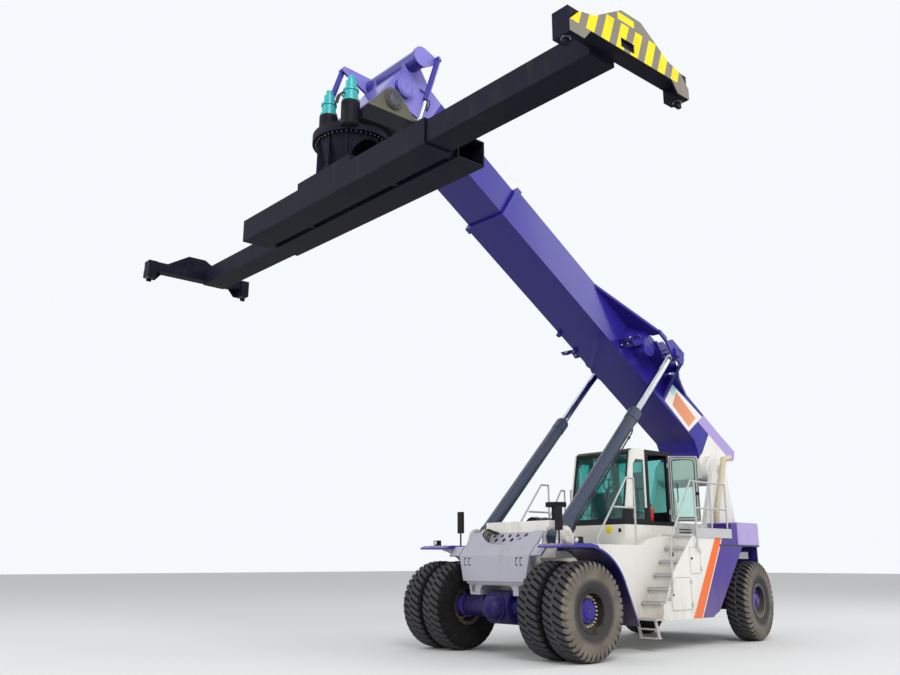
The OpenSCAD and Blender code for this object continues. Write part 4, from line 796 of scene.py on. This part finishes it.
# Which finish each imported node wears
NODE_FINISH = {
    "violet_paint": ["counterweight", "boom_inner", "damper_barrel_left", "damper_barrel_right"],
    "axle_paint": ["drive_axle", "steer_axle", "knuckle_left", "knuckle_right"],
    "head_paint": ["boom_head"],
    "boom_paint": ["boom_outer"],
    "wedge_paint": ["front_fenders"],
    "fender_paint": ["rear_fenders"],
    "tank_paint": ["side_bodies"],
    "white_paint": ["chassis_frame", "cab_base", "hood"],
    "lilac_paint": ["front_nose"],
    "navy_paint": ["turntable", "spreader_frame"],
    "arm_paint": ["spreader_arm_left", "spreader_arm_right"],
    "yoke_paint": ["yoke"],
    "barrel_paint": ["lift_barrel_left", "lift_barrel_right"],
    "teal_paint": ["slew_motors"],
    "cream_paint": ["exhaust"],
    "black_paint": ["air_cleaner", "lamps_and_mirrors"],
    "cab_paint": ["cab_shell"],
    "rail_paint": ["steps", "handrails"],
    "door_paint": ["cab_door"],
    "engine_paint": ["engine_block"],
    "cab_trim": ["cab_interior"],
    "tyre_rubber": ["drive_tyres_left", "drive_tyres_right"],
    "steer_rubber_left": ["steer_tyre_left"],
    "steer_rubber_right": ["steer_tyre_right"],
    "seat_cloth": ["seat"],
    "rim_paint": ["drive_rims_left", "drive_rims_right"],
    "steer_rim_paint": ["steer_rim_left", "steer_rim_right"],
    "chrome_rod": ["lift_rod_left", "lift_rod_right", "damper_rod_left", "damper_rod_right"],
    "cab_glazing": ["cab_glass"],
    "door_glazing": ["door_glass"],
}


class STACKER_OT_paint_nodes(Operator):
    """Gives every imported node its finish"""
    bl_idname = "stacker.paint_nodes"
    bl_label = "Paint the packed nodes"

    def execute(self, context):
        for finish, nodes in NODE_FINISH.items():
            for node in nodes:
                mesh = frame["nodes"][node].data
                mesh.materials.clear()
                mesh.materials.append(FINISHES[finish])
        return {"FINISHED"}


class STACKER_OT_tyres(Operator):
    """Road tyres with narrow slanted lugs in place of the plain ones"""
    bl_idname = "stacker.tyres"
    bl_label = "Tyres"

    # (radius, half width) of the wall, from the bead to the crown
    WALL = ((0.322, 0.192), (0.360, 0.1945), (0.372, 0.205), (0.392, 0.214), (0.43, 0.228), (0.48, 0.241),
            (0.54, 0.246), (0.60, 0.2465), (0.66, 0.2435), (0.70, 0.237), (0.73, 0.228), (0.755, 0.213),
            (0.772, 0.190), (0.779, 0.150), (0.7795, 0.0))
    # (out from the middle, radius of the top, way along the tread) of a lug
    LUG = ((0.010, 0.822, -0.066), (0.08, 0.8245, -0.030), (0.15, 0.8195, 0.008), (0.20, 0.806, 0.034),
           (0.232, 0.775, 0.048), (0.2455, 0.735, 0.054), (0.2475, 0.700, 0.058))
    LUG_WIDTH = 0.082
    LUG_DEPTH = 0.09
    def one_tyre(self, count):
        """One tyre round the origin, its axle along Y."""
        outline = [(r, -y) for r, y in self.WALL] + [(r, y) for r, y in reversed(self.WALL[:-1])]
        ring = lathe(outline + outline[:1], (0, 0, 0), "Y", 96)
        out, top, along = self.LUG[0]
        moves = [(there[2] - here[2], there[0] - here[0], there[1] - here[1])
                 for here, there in zip(self.LUG, self.LUG[1:])]
        lug = drawn_out((along - self.LUG_WIDTH / 2, out - 0.02, top - self.LUG_DEPTH),
                        (along + self.LUG_WIDTH / 2, out, top), moves)
        finish_modifier(lug, "BEVEL", width=0.006, segments=1, limit_method="ANGLE", angle_limit=0.9)
        step = math.tau / count
        rows = [Matrix.Rotation(k * step, 4, "Y") for k in range(count)]
        other = Matrix.Rotation(math.pi, 4, "Z")
        rows += [Matrix.Rotation((k + 0.5) * step, 4, "Y") @ other for k in range(count)]
        return join([ring, *copies(lug, rows)], "tyre")

    def execute(self, context):
        tyre = self.one_tyre(context.scene.fitting_sizes.lugs)
        for side, name in ((1, "left"), (-1, "right")):
            middles = [Matrix.Translation((AXLE.x, side * (TYRE_HIGH.y - TYRE_HALF), AXLE.z)),
                       Matrix.Translation((AXLE.x, side * (TYRE_LOW.y + TYRE_HALF), AXLE.z)) @
                       Matrix.Rotation(0.07, 4, "Y")]
            pair = join(copies(twin_of(tyre), middles), f"drive_tyre_tread_{name}")
            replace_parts(place_on(pair, f"drive_wheels_{name}", "tyre_rubber"), f"drive_tyres_{name}")
        for name, centre in (("left", STEER), ("right", STEER_RIGHT)):
            move = Matrix.Translation(centre) @ Matrix.Rotation(STEER_TURN, 4, "Z")
            single = join(copies(twin_of(tyre), [move]), f"steer_tyre_tread_{name}")
            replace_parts(place_on(single, f"steer_wheel_{name}", f"steer_rubber_{name}"),
                        f"steer_tyre_{name}")
        bpy.data.objects.remove(tyre)
        return {"FINISHED"}


class STACKER_OT_wheel_studs(Operator):
    """Rings of studs and a small cap on the hub of every wheel"""
    bl_idname = "stacker.wheel_studs"
    bl_label = "Wheel studs"

    def execute(self, context):
        sizes = context.scene.fitting_sizes
        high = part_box("drive_rims_left")[1]
        for side, name in ((1, "left"), (-1, "right")):
            flip = mirrored(side)
            stud = round_bar((AXLE.x + sizes.stud_circle, high.y - 0.165, AXLE.z), (0, 1, 0),
                             sizes.stud_radius, 0.045, 6, 0.003)
            ring = [flip @ turn for turn in whirl(sizes.studs, "Y", AXLE)]
            place_on(join(copies(stud, ring), f"wheel_studs_{name}"), f"drive_wheels_{name}",
                     "stud_paint")
            cap = cap_with_bolts((AXLE.x, side * (high.y - 0.072), AXLE.z), side, 0.085, 0.016, 6, 0.62, 0.008)
            place_on(join(cap, f"hub_cap_{name}"), f"drive_wheels_{name}", "violet_paint")
            swing = turned(STEER_TURN, "Z", (STEER_AXLE_X, side * KINGPIN_Y, 0))
            stud = round_bar((STEER_AXLE_X + 0.19, side * 1.50, AXLE.z), (0, side, 0), 0.015, 0.035, 6, 0.003)
            ring = [swing @ turn for turn in whirl(20, "Y", (STEER_AXLE_X, 0, AXLE.z))]
            cap = cap_with_bolts((STEER_AXLE_X, side * 1.565, AXLE.z), side, 0.085, 0.016, 6, 0.62, 0.008)
            cap = copies(join(cap, "cap"), [swing])
            place_on(join([*copies(stud, ring), *cap], f"steer_studs_{name}"), f"steer_wheel_{name}",
                     "violet_paint")
        return {"FINISHED"}


class STACKER_OT_pin_caps(Operator):
    """Bolted caps on the ends of the great pins"""
    bl_idname = "stacker.pin_caps"
    bl_label = "Pin caps"

    def execute(self, context):
        hang_u, hang_v = hang_on_boom()
        for name, body, slot, finish, place, radius, thick, bolts in (
                ("lift_base_caps", "chassis", "white_paint", "stud_paint",
                 at(-0.34, 1.211, 2.07), 0.12, 0.034, 10),
                ("hinge_caps", "chassis", "white_paint", "stud_paint", at(-6.2, 0.82, 3.7), 0.095, 0.022, 8),
                ("lift_head_caps", "boom", "violet_paint", "violet_paint",
                 on_boom(2.92, 1.176, 0.98), 0.118, 0.026, 8),
                ("yoke_caps", "yoke", "grey_paint", "grey_box_paint",
                 HANG_PIN + Vector((0, 0.81, 0)), 0.178, 0.024, 8),
                ("head_discs", "boom_extension", "violet_paint", "lavender_paint",
                 on_boom(hang_u - 0.108, 0.561, hang_v + 0.686), 0.186, 0.022, 0),
                ("head_tube_ends", "boom_extension", "violet_paint", "lavender_paint",
                 on_boom(hang_u + 0.054, 0.749, hang_v + 1.294), 0.158, 0.012, 0)):
            left = cap_with_bolts(place, 1, radius, thick, bolts)
            right = cap_with_bolts((place.x, -place.y, place.z), -1, radius, thick, bolts)
            place_on(join([*left, *right], name), body, finish)
        return {"FINISHED"}


class STACKER_OT_hydraulics(Operator):
    """Pipes with clamps on the lift barrels and hoses at the nose and at the boom's head"""
    bl_idname = "stacker.hydraulics"
    bl_label = "Pipes and hoses"

    # (places on the lift cylinder, radius) of the pipes on one barrel
    LIFT_PIPES = (
        (((0.42, 0.10, -0.11), (0.52, 0.155, -0.085), (3.0, 0.155, -0.085), (3.14, 0.1, -0.1)), 0.015),
        (((0.30, 0.02, -0.15), (0.46, 0.11, -0.125), (1.9, 0.115, -0.125), (2.0, 0.08, -0.12)), 0.011))

    def execute(self, context):
        hose = context.scene.fitting_sizes.hose_radius
        for side, name in ((1, "left"), (-1, "right")):
            flip = mirrored(side)
            made = [tube([on_lift(*place) for place in route], radius, 12, 0.05)
                    for route, radius in self.LIFT_PIPES]
            for along in (0.6, 1.7, 2.85):
                made.append(round_bar(on_lift(along - 0.03, 0.158, -0.086), LIFT_WAY, 0.026, 0.06, 8, 0.004))
            made.append(round_bar(on_lift(0.24, 0.03, -0.165), LIFT_WAY, 0.05, 0.2, 8, 0.01))
            twin = copies(join(made, "pipes"), [flip])
            place_on(join(twin, f"lift_pipes_{name}"), f"lift_barrel_{name}", "hose_rubber")
            gland = lathe([(0.102, -0.004), (0.128, -0.004), (0.128, 0.03), (0.118, 0.042), (0.102, 0.042),
                           (0.102, -0.004)], on_lift(3.592, 0, 0), LIFT_WAY, 48)
            made = [gland]
            bolt = round_bar(on_lift(3.63, 0, 0.111), LIFT_WAY, 0.007, 0.012, 6)
            made += copies(bolt, whirl(12, LIFT_WAY, LIFT_BASE))
            twin = copies(join(made, "gland"), [flip])
            place_on(join(twin, f"lift_gland_{name}"), f"lift_barrel_{name}", "barrel_paint")
        bundle = []
        for k in range(4):
            y = -0.60 + 0.055 * k
            route = ((-0.30, 2.14), (-0.18, 2.25 - 0.02 * k), (-0.02, 2.22 - 0.02 * k), (0.04, 1.98))
            bundle.append(tube([at(x, y, z) for x, z in route], hose, 10, 0.08))
        place_on(join(bundle, "nose_hoses"), "chassis", "hose_rubber")
        u, v = hang_on_boom()
        loops = []
        for side in (1, -1):
            for k in range(2):
                back, y = 0.05 * k, 0.53 + 0.035 * k
                route = ((-0.34 - back, 0.45, 1.04), (-0.44 - back, y, 1.00), (-0.62 - back, y, 0.88),
                         (-0.74, 0.45, 0.76))
                loops.append(tube([on_boom(u + ahead, side * left, v + up) for ahead, left, up in route],
                                  0.011, 10, 0.12))
        place_on(join(loops, "head_hoses"), "boom_extension", "hose_rubber")
        drops = []
        for k in range(3):
            y = 0.42 + 0.05 * k
            drops.append(tube([(RING.x + ahead, y, YOKE_LOW.z + up)
                               for ahead, up in ((0.30, 0.48), (0.62, 0.62), (0.70, 0.34))], 0.012, 10, 0.1))
        place_on(join(drops, "motor_hoses"), "yoke", "hose_rubber")
        return {"FINISHED"}


class STACKER_OT_lamps(Operator):
    """Lenses and bezels of the lamps, the mirrors' faces and the amber beacon"""
    bl_idname = "stacker.lamps"
    bl_label = "Lamps and mirrors"

    # working lamps under the boom: (along, left), centred at v 0.4355
    SHELF = ((3.935, 0.570), (3.935, 0.735), (4.09, 0.900))

    def execute(self, context):
        for side, name in ((1, "left"), (-1, "right")):
            lamp = at(0.141, side * 1.86, 1.995)
            glass = lathe([(0, 0.014), (0.028, 0.012), (0.042, 0.004), (0.044, 0), (0, 0)], lamp, "X", 28)
            place_on(join([glass], f"head_lens_{name}"), "chassis", "lamp_lens")
            bezel = lathe([(0.044, 0), (0.052, 0), (0.052, 0.012), (0.046, 0.016), (0.044, 0.012),
                           (0.044, 0)], lamp, "X", 28)
            place_on(join([bezel], f"head_bezel_{name}"), "chassis", "bare_steel")
            face = rounded_box(at(-0.069, side * 1.238, 2.20), at(-0.064, side * 1.362, 2.58), 0.002)
            frame_line = ((1.236, 2.19), (1.364, 2.19), (1.364, 2.59), (1.236, 2.59), (1.236, 2.19))
            rim = tube([at(-0.067, side * y, z) for y, z in frame_line], 0.006, 8, 0.03)
            place_on(join([face], f"mirror_face_{name}"), "chassis", "mirror_face")
            place_on(join([rim], f"mirror_rim_{name}"), "chassis", "black_paint")
            tail = []
            for dy in (-0.035, 0.035):
                tail.append(lathe([(0, 0.012), (0.022, 0.01), (0.03, 0), (0, 0)],
                                  at(-7.3195, side * (0.73 + dy), 1.97), (-1, 0, 0), 20))
            place_on(join(tail, f"tail_lens_{name}"), "chassis", "red_paint")
            lenses, rims = [], []
            for along, left in self.SHELF:
                place = on_boom(along + 0.036, side * left, 0.4355)
                way = BOOM_TURN.to_3x3() @ Vector((1, 0, 0))
                lenses.append(lathe([(0, 0.008), (0.018, 0.007), (0.027, 0), (0, 0)], place, way, 20))
                rims.append(lathe([(0.027, 0), (0.033, 0), (0.033, 0.008), (0.027, 0.008), (0.027, 0)],
                                  place, way, 20))
            place_on(join(lenses, f"work_lens_{name}"), "boom", "lamp_lens")
            place_on(join(rims, f"work_rim_{name}"), "boom", "bare_steel")
        beacon = at(-0.62, 1.30, 1.975)
        dome = lathe([(0, 0.11), (0.03, 0.105), (0.05, 0.085), (0.055, 0.03), (0.055, 0), (0, 0)],
                     beacon, "Z", 28)
        foot = lathe([(0, -0.035), (0.07, -0.035), (0.07, -0.01), (0.06, 0.004), (0, 0.004)], beacon, "Z", 28)
        place_on(join([dome], "beacon_dome"), "chassis", "amber_lens")
        place_on(join([foot], "beacon_foot"), "chassis", "black_paint")
        return {"FINISHED"}


class STACKER_OT_cab_fittings(Operator):
    """Door seals, handle and lock, wipers, blank plates and the extinguisher"""
    bl_idname = "stacker.cab_fittings"
    bl_label = "Cab fittings"

    DOOR_LOW, DOOR_TOP, DOOR_WIDE, DOOR_IN = 2.46, 3.85, 0.65, -0.062

    def on_door(self, along, out, z):
        """A point on the open door, from its hinge and out from its plane."""
        swing = math.radians(140)
        return at(-4.19 + along * math.cos(swing) - out * math.sin(swing),
                  0.775 + along * math.sin(swing) + out * math.cos(swing), z)

    def loop(self, place, near, far, low, high, radius):
        """A closed seal round a rectangle of the plane that place() gives."""
        corners = [(near, low), (far, low), (far, high), (near, high)]
        return tube([place(*corner) for corner in closed_path(corners)], radius, 8, 0.08)

    def execute(self, context):
        inside, wide, low, high = self.DOOR_IN, self.DOOR_WIDE, self.DOOR_LOW, self.DOOR_TOP

        def door(along, z):
            return self.on_door(along, inside, z)
        seals = [self.loop(door, 0.035, wide - 0.03, low + 0.03, high - 0.03, 0.008),
                 self.loop(door, 0.078, wide - 0.083, low + 0.088, high - 0.078, 0.009)]
        place_on(join(seals, "door_seals"), "door", "hose_rubber")
        route = ((inside, 2.86), (inside - 0.06, 2.90), (inside - 0.06, 3.22), (inside, 3.26))
        bar = tube([self.on_door(0.16, out, z) for out, z in route], 0.011, 10, 0.04)
        lock = lathe([(0, 0.03), (0.03, 0.028), (0.036, 0.02), (0.036, 0), (0, 0)],
                     self.on_door(0.60, inside, 3.05), self.on_door(0, -1, 0) - self.on_door(0, 0, 0), 24)
        place_on(join([bar, lock], "door_handle"), "door", "black_paint")

        wipers = []
        front = at(-2.63, 0, 0).x
        for y in (0.30, -0.30):
            route = ((0.035, 0, 2.62), (0.02, 0.05, 2.9), (0.012, 0.12, 3.22))
            arm = tube([(front + ahead, y + left, z) for ahead, left, z in route], 0.007, 8)
            blade = tube([(front + 0.008, y + 0.03, 2.92), (front + 0.006, y + 0.2, 3.50)], 0.008, 8)
            knob = lathe([(0, 0.03), (0.02, 0.026), (0.024, 0), (0, 0)], (front + 0.012, y, 2.62), "X", 16)
            wipers += [arm, blade, knob]
        place_on(join(wipers, "wipers"), "chassis", "cab_trim")

        bottle = lathe([(0, 0), (0.06, 0), (0.068, 0.012), (0.068, 0.27), (0.055, 0.31), (0.024, 0.335),
                        (0, 0.335)], at(-3.74, 0.60, 2.435), "Z", 28)
        place_on(join([bottle], "extinguisher_bottle"), "chassis", "red_paint")
        valve = [round_bar(at(-3.74, 0.60, 2.765), (0, 0, 1), 0.02, 0.04, 12, 0.003),
                 rounded_box(at(-3.79, 0.585, 2.80), at(-3.69, 0.615, 2.815), 0.004),
                 tube([at(-3.72, 0.60, 2.785), at(-3.66, 0.60, 2.76), at(-3.658, 0.60, 2.56)],
                      0.009, 8, 0.03)]
        place_on(join(valve, "extinguisher_valve"), "chassis", "cab_trim")

        disc = lathe([(0, 0.005), (0.078, 0.005), (0.083, 0.002), (0.083, -0.002), (0, -0.002)],
                     at(-2.66, 0.335, 2.272), "X", 32)
        place_on(join([disc], "blank_disc"), "chassis", "yellow_paint")
        plates = [rounded_box(at(-2.662, 0.575, 2.215), at(-2.655, 0.645, 2.29), 0.002),
                  rounded_box(at(-2.90, 1.689, 1.735), at(-2.78, 1.699, 1.81), 0.002)]
        place_on(join(plates, "blank_plates"), "chassis", "black_paint")
        return {"FINISHED"}


class STACKER_OT_body_fittings(Operator):
    """Fittings of the tank doors and treads, bolts, catches, bands and the plate behind the vents"""
    bl_idname = "stacker.body_fittings"
    bl_label = "Body fittings"

    # outlines of the two doors in the tank's face, each from the rear lower corner
    DOORS = (((-3.43, 0.72), (-2.74, 0.72), (-2.74, 1.13), (-2.90, 1.352), (-3.43, 1.352)),
             ((-3.81, 1.40), (-3.43, 1.40), (-3.43, 1.93), (-3.81, 1.93)))
    TREADS, TREAD_X, TREAD_Z, GOING, RISE = 5, -2.43, 0.89, 0.215, 0.257

    def execute(self, context):
        hinges, latches, seams = [], [], []
        for side in (1, -1):
            face = 1.697 * side
            for door in self.DOORS:
                (rear, low), front, high = door[0], door[1][0], door[-1][1]
                for z in (low + 0.10, high - 0.10):
                    hinges.append(round_bar(at(rear + 0.006, face + 0.008 * side, z - 0.04), (0, 0, 1),
                                            0.011, 0.08, 10, 0.002))
                    hinges.append(rounded_box(at(rear - 0.03, face - 0.006 * side, z - 0.03),
                                              at(rear + 0.04, face + 0.005 * side, z + 0.03), 0.003))
                latches.append(lathe([(0, 0.012), (0.018, 0.012), (0.026, 0.006), (0.028, 0), (0, 0)],
                                     at(front - 0.07, face, low + 0.30), (0, side, 0), 20))
                inner = [(x + (0.014 if x < (rear + front) / 2 else -0.014),
                          z + (0.014 if z < (low + high) / 2 else -0.014)) for x, z in door]
                seams.append(tube([at(x, face, z) for x, z in closed_path(inner)], 0.003, 6, 0.04))
        place_on(join(hinges, "tank_hinges"), "chassis", "rail_paint")
        place_on(join(latches, "tank_latches"), "chassis", "black_paint")
        place_on(join(seams, "tank_seams"), "chassis", "cab_trim")

        slats = []
        for side in (1, -1):
            for k in range(self.TREADS):
                front, top = self.TREAD_X - self.GOING * k, self.TREAD_Z + self.RISE * k
                for j in range(6):
                    x = front - 0.03 - j * 0.034
                    slats.append(rounded_box(at(x - 0.006, side * 1.225, top),
                                             at(x + 0.006, side * 1.66, top + 0.008), 0.002, 1))
        place_on(join(slats, "tread_grips"), "chassis", "bare_steel")

        bolts = []
        for side in (1, -1):
            for x in (0.36, 0.16, -0.04, -0.24, -0.44):
                for y in (1.30, 1.72):
                    bolts.append(round_bar(at(x, side * y, 1.939), (0, 0, 1), 0.014, 0.012, 6, 0.002))
        place_on(join(bolts, "fender_bolts"), "chassis", "stud_paint")

        catches = []
        for side in (1, -1):
            for x in (-6.6, -6.0, -5.3, -4.7):
                catches.append(rounded_box(at(x - 0.05, side * 0.688, 2.02),
                                           at(x + 0.05, side * 0.705, 2.06), 0.006))
                catches.append(round_bar(at(x, side * 0.70, 2.04), (0, side, 0), 0.016, 0.012, 12, 0.002))
        place_on(join(catches, "bonnet_catches"), "chassis", "black_paint")

        # the nose's upper part leans back; a dark plate stands behind its vents
        lean = math.atan2(NOSE_FOOT[0] - NOSE_HEAD[0], NOSE_HEAD[1] - NOSE_FOOT[1])
        slope = Matrix.Translation(at(NOSE_FOOT[0], 0, NOSE_FOOT[1])) @ Matrix.Rotation(-lean, 4, "Y")
        backing = copies(rounded_box((-0.236, -0.60, 0.47), (-0.224, 0.60, 0.715), 0.004), [slope])
        place_on(join(backing, "vent_backing"), "chassis", "black_paint")

        bands = []
        for x in (-1.76, -1.50, -1.24):
            bands.append(lathe([(0.201, -0.012), (0.207, -0.012), (0.207, 0.012), (0.201, 0.012),
                                (0.201, -0.012)], at(x, -0.35, 2.30), "X", 40))
        place_on(join(bands, "cleaner_bands"), "chassis", "bare_steel")
        return {"FINISHED"}


class STACKER_OT_boom_fittings(Operator):
    """Rod with its clamps on the boom's tail, and the placards' rims"""
    bl_idname = "stacker.boom_fittings"
    bl_label = "Boom fittings"

    def execute(self, context):
        route = ((-0.30, 1.05), (-0.18, 1.088), (1.0, 1.088))
        rods = [tube([on_boom(u, 0.40, v) for u, v in route], 0.022, 12)]
        for u in (-0.06, 0.4, 0.9):
            rods.append(boom_box((u - 0.03, 0.365, 1.052), (u + 0.03, 0.435, 1.114), 0.006))
        place_on(join(rods, "tail_rod"), "boom", "black_paint")
        rims = []
        for side in (1, -1):
            rim = [on_boom(u, side * BOOM_SIDE, v) for u, v in closed_path(PLACARD_PANEL)]
            rims.append(tube(rim, 0.004, 6, 0.02))
        place_on(join(rims, "placard_rims"), "boom", "stud_paint")
        return {"FINISHED"}


class STACKER_OT_spreader_fittings(Operator):
    """Motor flanges and bolts, edge strip and twistlock collars of the spreader"""
    bl_idname = "stacker.spreader_fittings"
    bl_label = "Spreader fittings"

    def execute(self, context):
        parts, bolts = [], []
        for y in MOTOR_PLACES:
            parts.append(lathe([(0.10, 0), (0.165, 0), (0.165, 0.03), (0.14, 0.05), (0.10, 0.05), (0.10, 0)],
                               (MOTOR_X, y, YOKE_PLATE_TOP), "Z", 36))
            bolt = round_bar((MOTOR_X + 0.148, y, YOKE_PLATE_TOP + 0.028), (0, 0, 1), 0.01, 0.014, 6)
            bolts += copies(bolt, whirl(10, "Z", (MOTOR_X, y, 0)))
        place_on(join(parts, "motor_flanges"), "yoke", "black_paint")
        place_on(join(bolts, "motor_bolts"), "yoke", "bare_steel")

        low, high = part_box("spreader_frame")
        edge = drawn_out((low.x + 0.10, 0.5, high.z - 0.002), (low.x + 0.13, 0.52, high.z + 0.006),
                         [(0, 1.0, 0), (0, 0.02, -0.003), (0, 0.9, 0)])
        finish_modifier(edge, "BEVEL", width=0.002, segments=2)
        place_on(join([edge], "spreader_edge"), "spreader", "stud_paint")
        collars = {"left": [], "right": []}
        for side, name in ((1, "left"), (-1, "right")):
            for reach in (1.1295, -1.1295):
                collars[name].append(lathe([(0.032, -0.012), (0.062, -0.012), (0.062, 0.0), (0.05, 0.008),
                                            (0.032, 0.008), (0.032, -0.012)],
                                           at(3.72 + reach, side * 5.9925, ARM_LOW.z + 0.083), "Z", 28))
            place_on(join(collars[name], f"lock_collars_{name}"), f"arm_{name}", "bare_steel")
        return {"FINISHED"}


class STACKER_OT_seat(Operator):
    """Padded driver's seat in place of the plain one"""
    bl_idname = "stacker.seat"
    bl_label = "Seat"

    def cushion(self, low, high, lean=0.0):
        """A cushion with rounded edges that leans back about its lower front edge."""
        piece = rounded_box(low, high, 0)
        edit(piece)
        bpy.ops.mesh.select_all(action="SELECT")
        bpy.ops.mesh.subdivide(number_cuts=5)
        bpy.ops.object.mode_set(mode="OBJECT")
        finish_modifier(piece, "BEVEL", width=0.03, segments=3, limit_method="ANGLE", angle_limit=0.9)
        if lean:
            piece.data.transform(turned(lean, "Y", (low[0], 0, low[2])))
        return piece

    def execute(self, context):
        low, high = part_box("seat")
        squab = self.cushion((low.x + 0.10, low.y, low.z), (high.x, high.y, low.z + 0.13))
        place_on(join([squab], "seat_cushion"), "chassis", "seat_cloth")
        back = self.cushion((low.x + 0.10, low.y + 0.02, low.z + 0.13),
                            (low.x + 0.22, high.y - 0.02, high.z - 0.01), -0.145)
        place_on(join([back], "seat_back"), "chassis", "seat_cloth")
        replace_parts(squab, "seat")
        return {"FINISHED"}


class STACKER_OT_ring_bolts(Operator):
    """The row of bolts under the rim of the slewing ring"""
    bl_idname = "stacker.ring_bolts"
    bl_label = "Slewing ring bolts"

    def execute(self, context):
        count = context.scene.fitting_sizes.ring_bolts
        bolt = round_bar((RING.x + 0.655, 0, RING.z - 0.088), (0, 0, 1), 0.015, 0.02, 6, 0.002)
        ring = join(copies(bolt, whirl(count, "Z", RING)), "ring_bolts")
        place_on(ring, "turntable", "bare_steel")
        return {"FINISHED"}


class STACKER_OT_studio(Operator):
    """Floor, lamps and the camera at the photograph's angle"""
    bl_idname = "stacker.studio"
    bl_label = "Studio"

    def execute(self, context):
        studio = context.scene.studio_settings
        deselect()
        bpy.ops.mesh.primitive_plane_add(size=240, location=(0, 0, 0))
        floor = bpy.context.object
        floor.name = "floor"
        ground = Recipe("floor_grey", roughness=0.8)
        ground.feed("Base Color", ground.blend(ground.noise(0.4, 4.0) * 0.12, tuple(studio.floor),
                                               dim(tuple(studio.floor), 0.85)))
        floor.data.materials.append(ground.material)
        self.world(context, studio)
        for name, place, size, power in (
                ("key", (16, 22, 24), 14, studio.key), ("side", (26, -10, 14), 14, studio.key * 0.35),
                ("back", (-20, 12, 18), 12, studio.key * 0.35)):
            bpy.ops.object.light_add(type="AREA", location=place)
            lamp = bpy.context.object
            lamp.name = f"{name}_lamp"
            lamp.data.energy = power
            lamp.data.size = size
            lamp.rotation_euler = (Vector((0, 0, 3)) - Vector(place)).to_track_quat("-Z", "Y").to_euler()
        bpy.ops.object.camera_add(location=(13.252, 11.936, 1.628))
        camera = bpy.context.object
        camera.data.sensor_width = 36
        camera.data.lens = studio.lens
        camera.data.clip_end = 400
        camera.rotation_euler = Vector((-0.6405, -0.7265, 0.2487)).to_track_quat("-Z", "Y").to_euler()
        context.scene.camera = camera
        context.scene.view_settings.view_transform = "Standard"
        return {"FINISHED"}

    def world(self, context, studio):
        """An even pale background, seen directly, through glass and in reflections alike."""
        world = bpy.data.worlds.new("studio")
        context.scene.world = world
        world.use_nodes = True
        tree = world.node_tree
        tree.nodes.clear()
        out = tree.nodes.new("ShaderNodeOutputWorld")
        light = tree.nodes.new("ShaderNodeBackground")
        seen = tree.nodes.new("ShaderNodeBackground")
        path = tree.nodes.new("ShaderNodeLightPath")
        mix = tree.nodes.new("ShaderNodeMixShader")
        light.inputs["Color"].default_value = (0.94, 0.96, 1.0, 1)
        light.inputs["Strength"].default_value = studio.fill
        seen.inputs["Color"].default_value = (0.92, 0.95, 0.98, 1)
        seen.inputs["Strength"].default_value = 1.0
        plain = path.outputs["Is Camera Ray"]
        for ray in ("Is Transmission Ray", "Is Glossy Ray"):
            either = tree.nodes.new("ShaderNodeMath")
            either.operation = "MAXIMUM"
            tree.links.new(plain, either.inputs[0])
            tree.links.new(path.outputs[ray], either.inputs[1])
            plain = either.outputs[0]
        tree.links.new(plain, mix.inputs[0])
        tree.links.new(light.outputs[0], mix.inputs[1])
        tree.links.new(seen.outputs[0], mix.inputs[2])
        tree.links.new(mix.outputs[0], out.inputs[0])


STEPS = (STACKER_OT_mix_finishes, STACKER_OT_paint_nodes, STACKER_OT_tyres, STACKER_OT_wheel_studs,
         STACKER_OT_pin_caps, STACKER_OT_hydraulics, STACKER_OT_lamps, STACKER_OT_cab_fittings,
         STACKER_OT_body_fittings, STACKER_OT_boom_fittings, STACKER_OT_spreader_fittings, STACKER_OT_seat,
         STACKER_OT_ring_bolts, STACKER_OT_studio)


class STACKER_PT_dresser(Panel):
    """Lists the steps and the settings of the dresser"""
    bl_label = "Reach stacker"
    bl_idname = "STACKER_PT_dresser"
    bl_space_type = "VIEW_3D"
    bl_region_type = "UI"
    bl_category = "Reach stacker"

    def draw(self, context):
        scene = context.scene
        for settings in (scene.paint_colours, scene.fitting_sizes, scene.studio_settings):
            box = self.layout.box()
            for key in settings.__annotations__:
                box.prop(settings, key)
        for step in STEPS:
            self.layout.operator(step.bl_idname)


CLASSES = (PaintColours, FittingSizes, StudioSettings, *STEPS, STACKER_PT_dresser)


def register():
    for made in CLASSES:
        bpy.utils.register_class(made)
    bpy.types.Scene.paint_colours = PointerProperty(type=PaintColours)
    bpy.types.Scene.fitting_sizes = PointerProperty(type=FittingSizes)
    bpy.types.Scene.studio_settings = PointerProperty(type=StudioSettings)


def unregister():
    del bpy.types.Scene.paint_colours
    del bpy.types.Scene.fitting_sizes
    del bpy.types.Scene.studio_settings
    for made in reversed(CLASSES):
        bpy.utils.unregister_class(made)


def dress():
    register()
    for step in STEPS:
        group, name = step.bl_idname.split(".")
        if getattr(getattr(bpy.ops, group), name)() != {"FINISHED"}:
            raise RuntimeError(f"{step.bl_label} did not finish")


if __name__ == "__main__":
    dress()
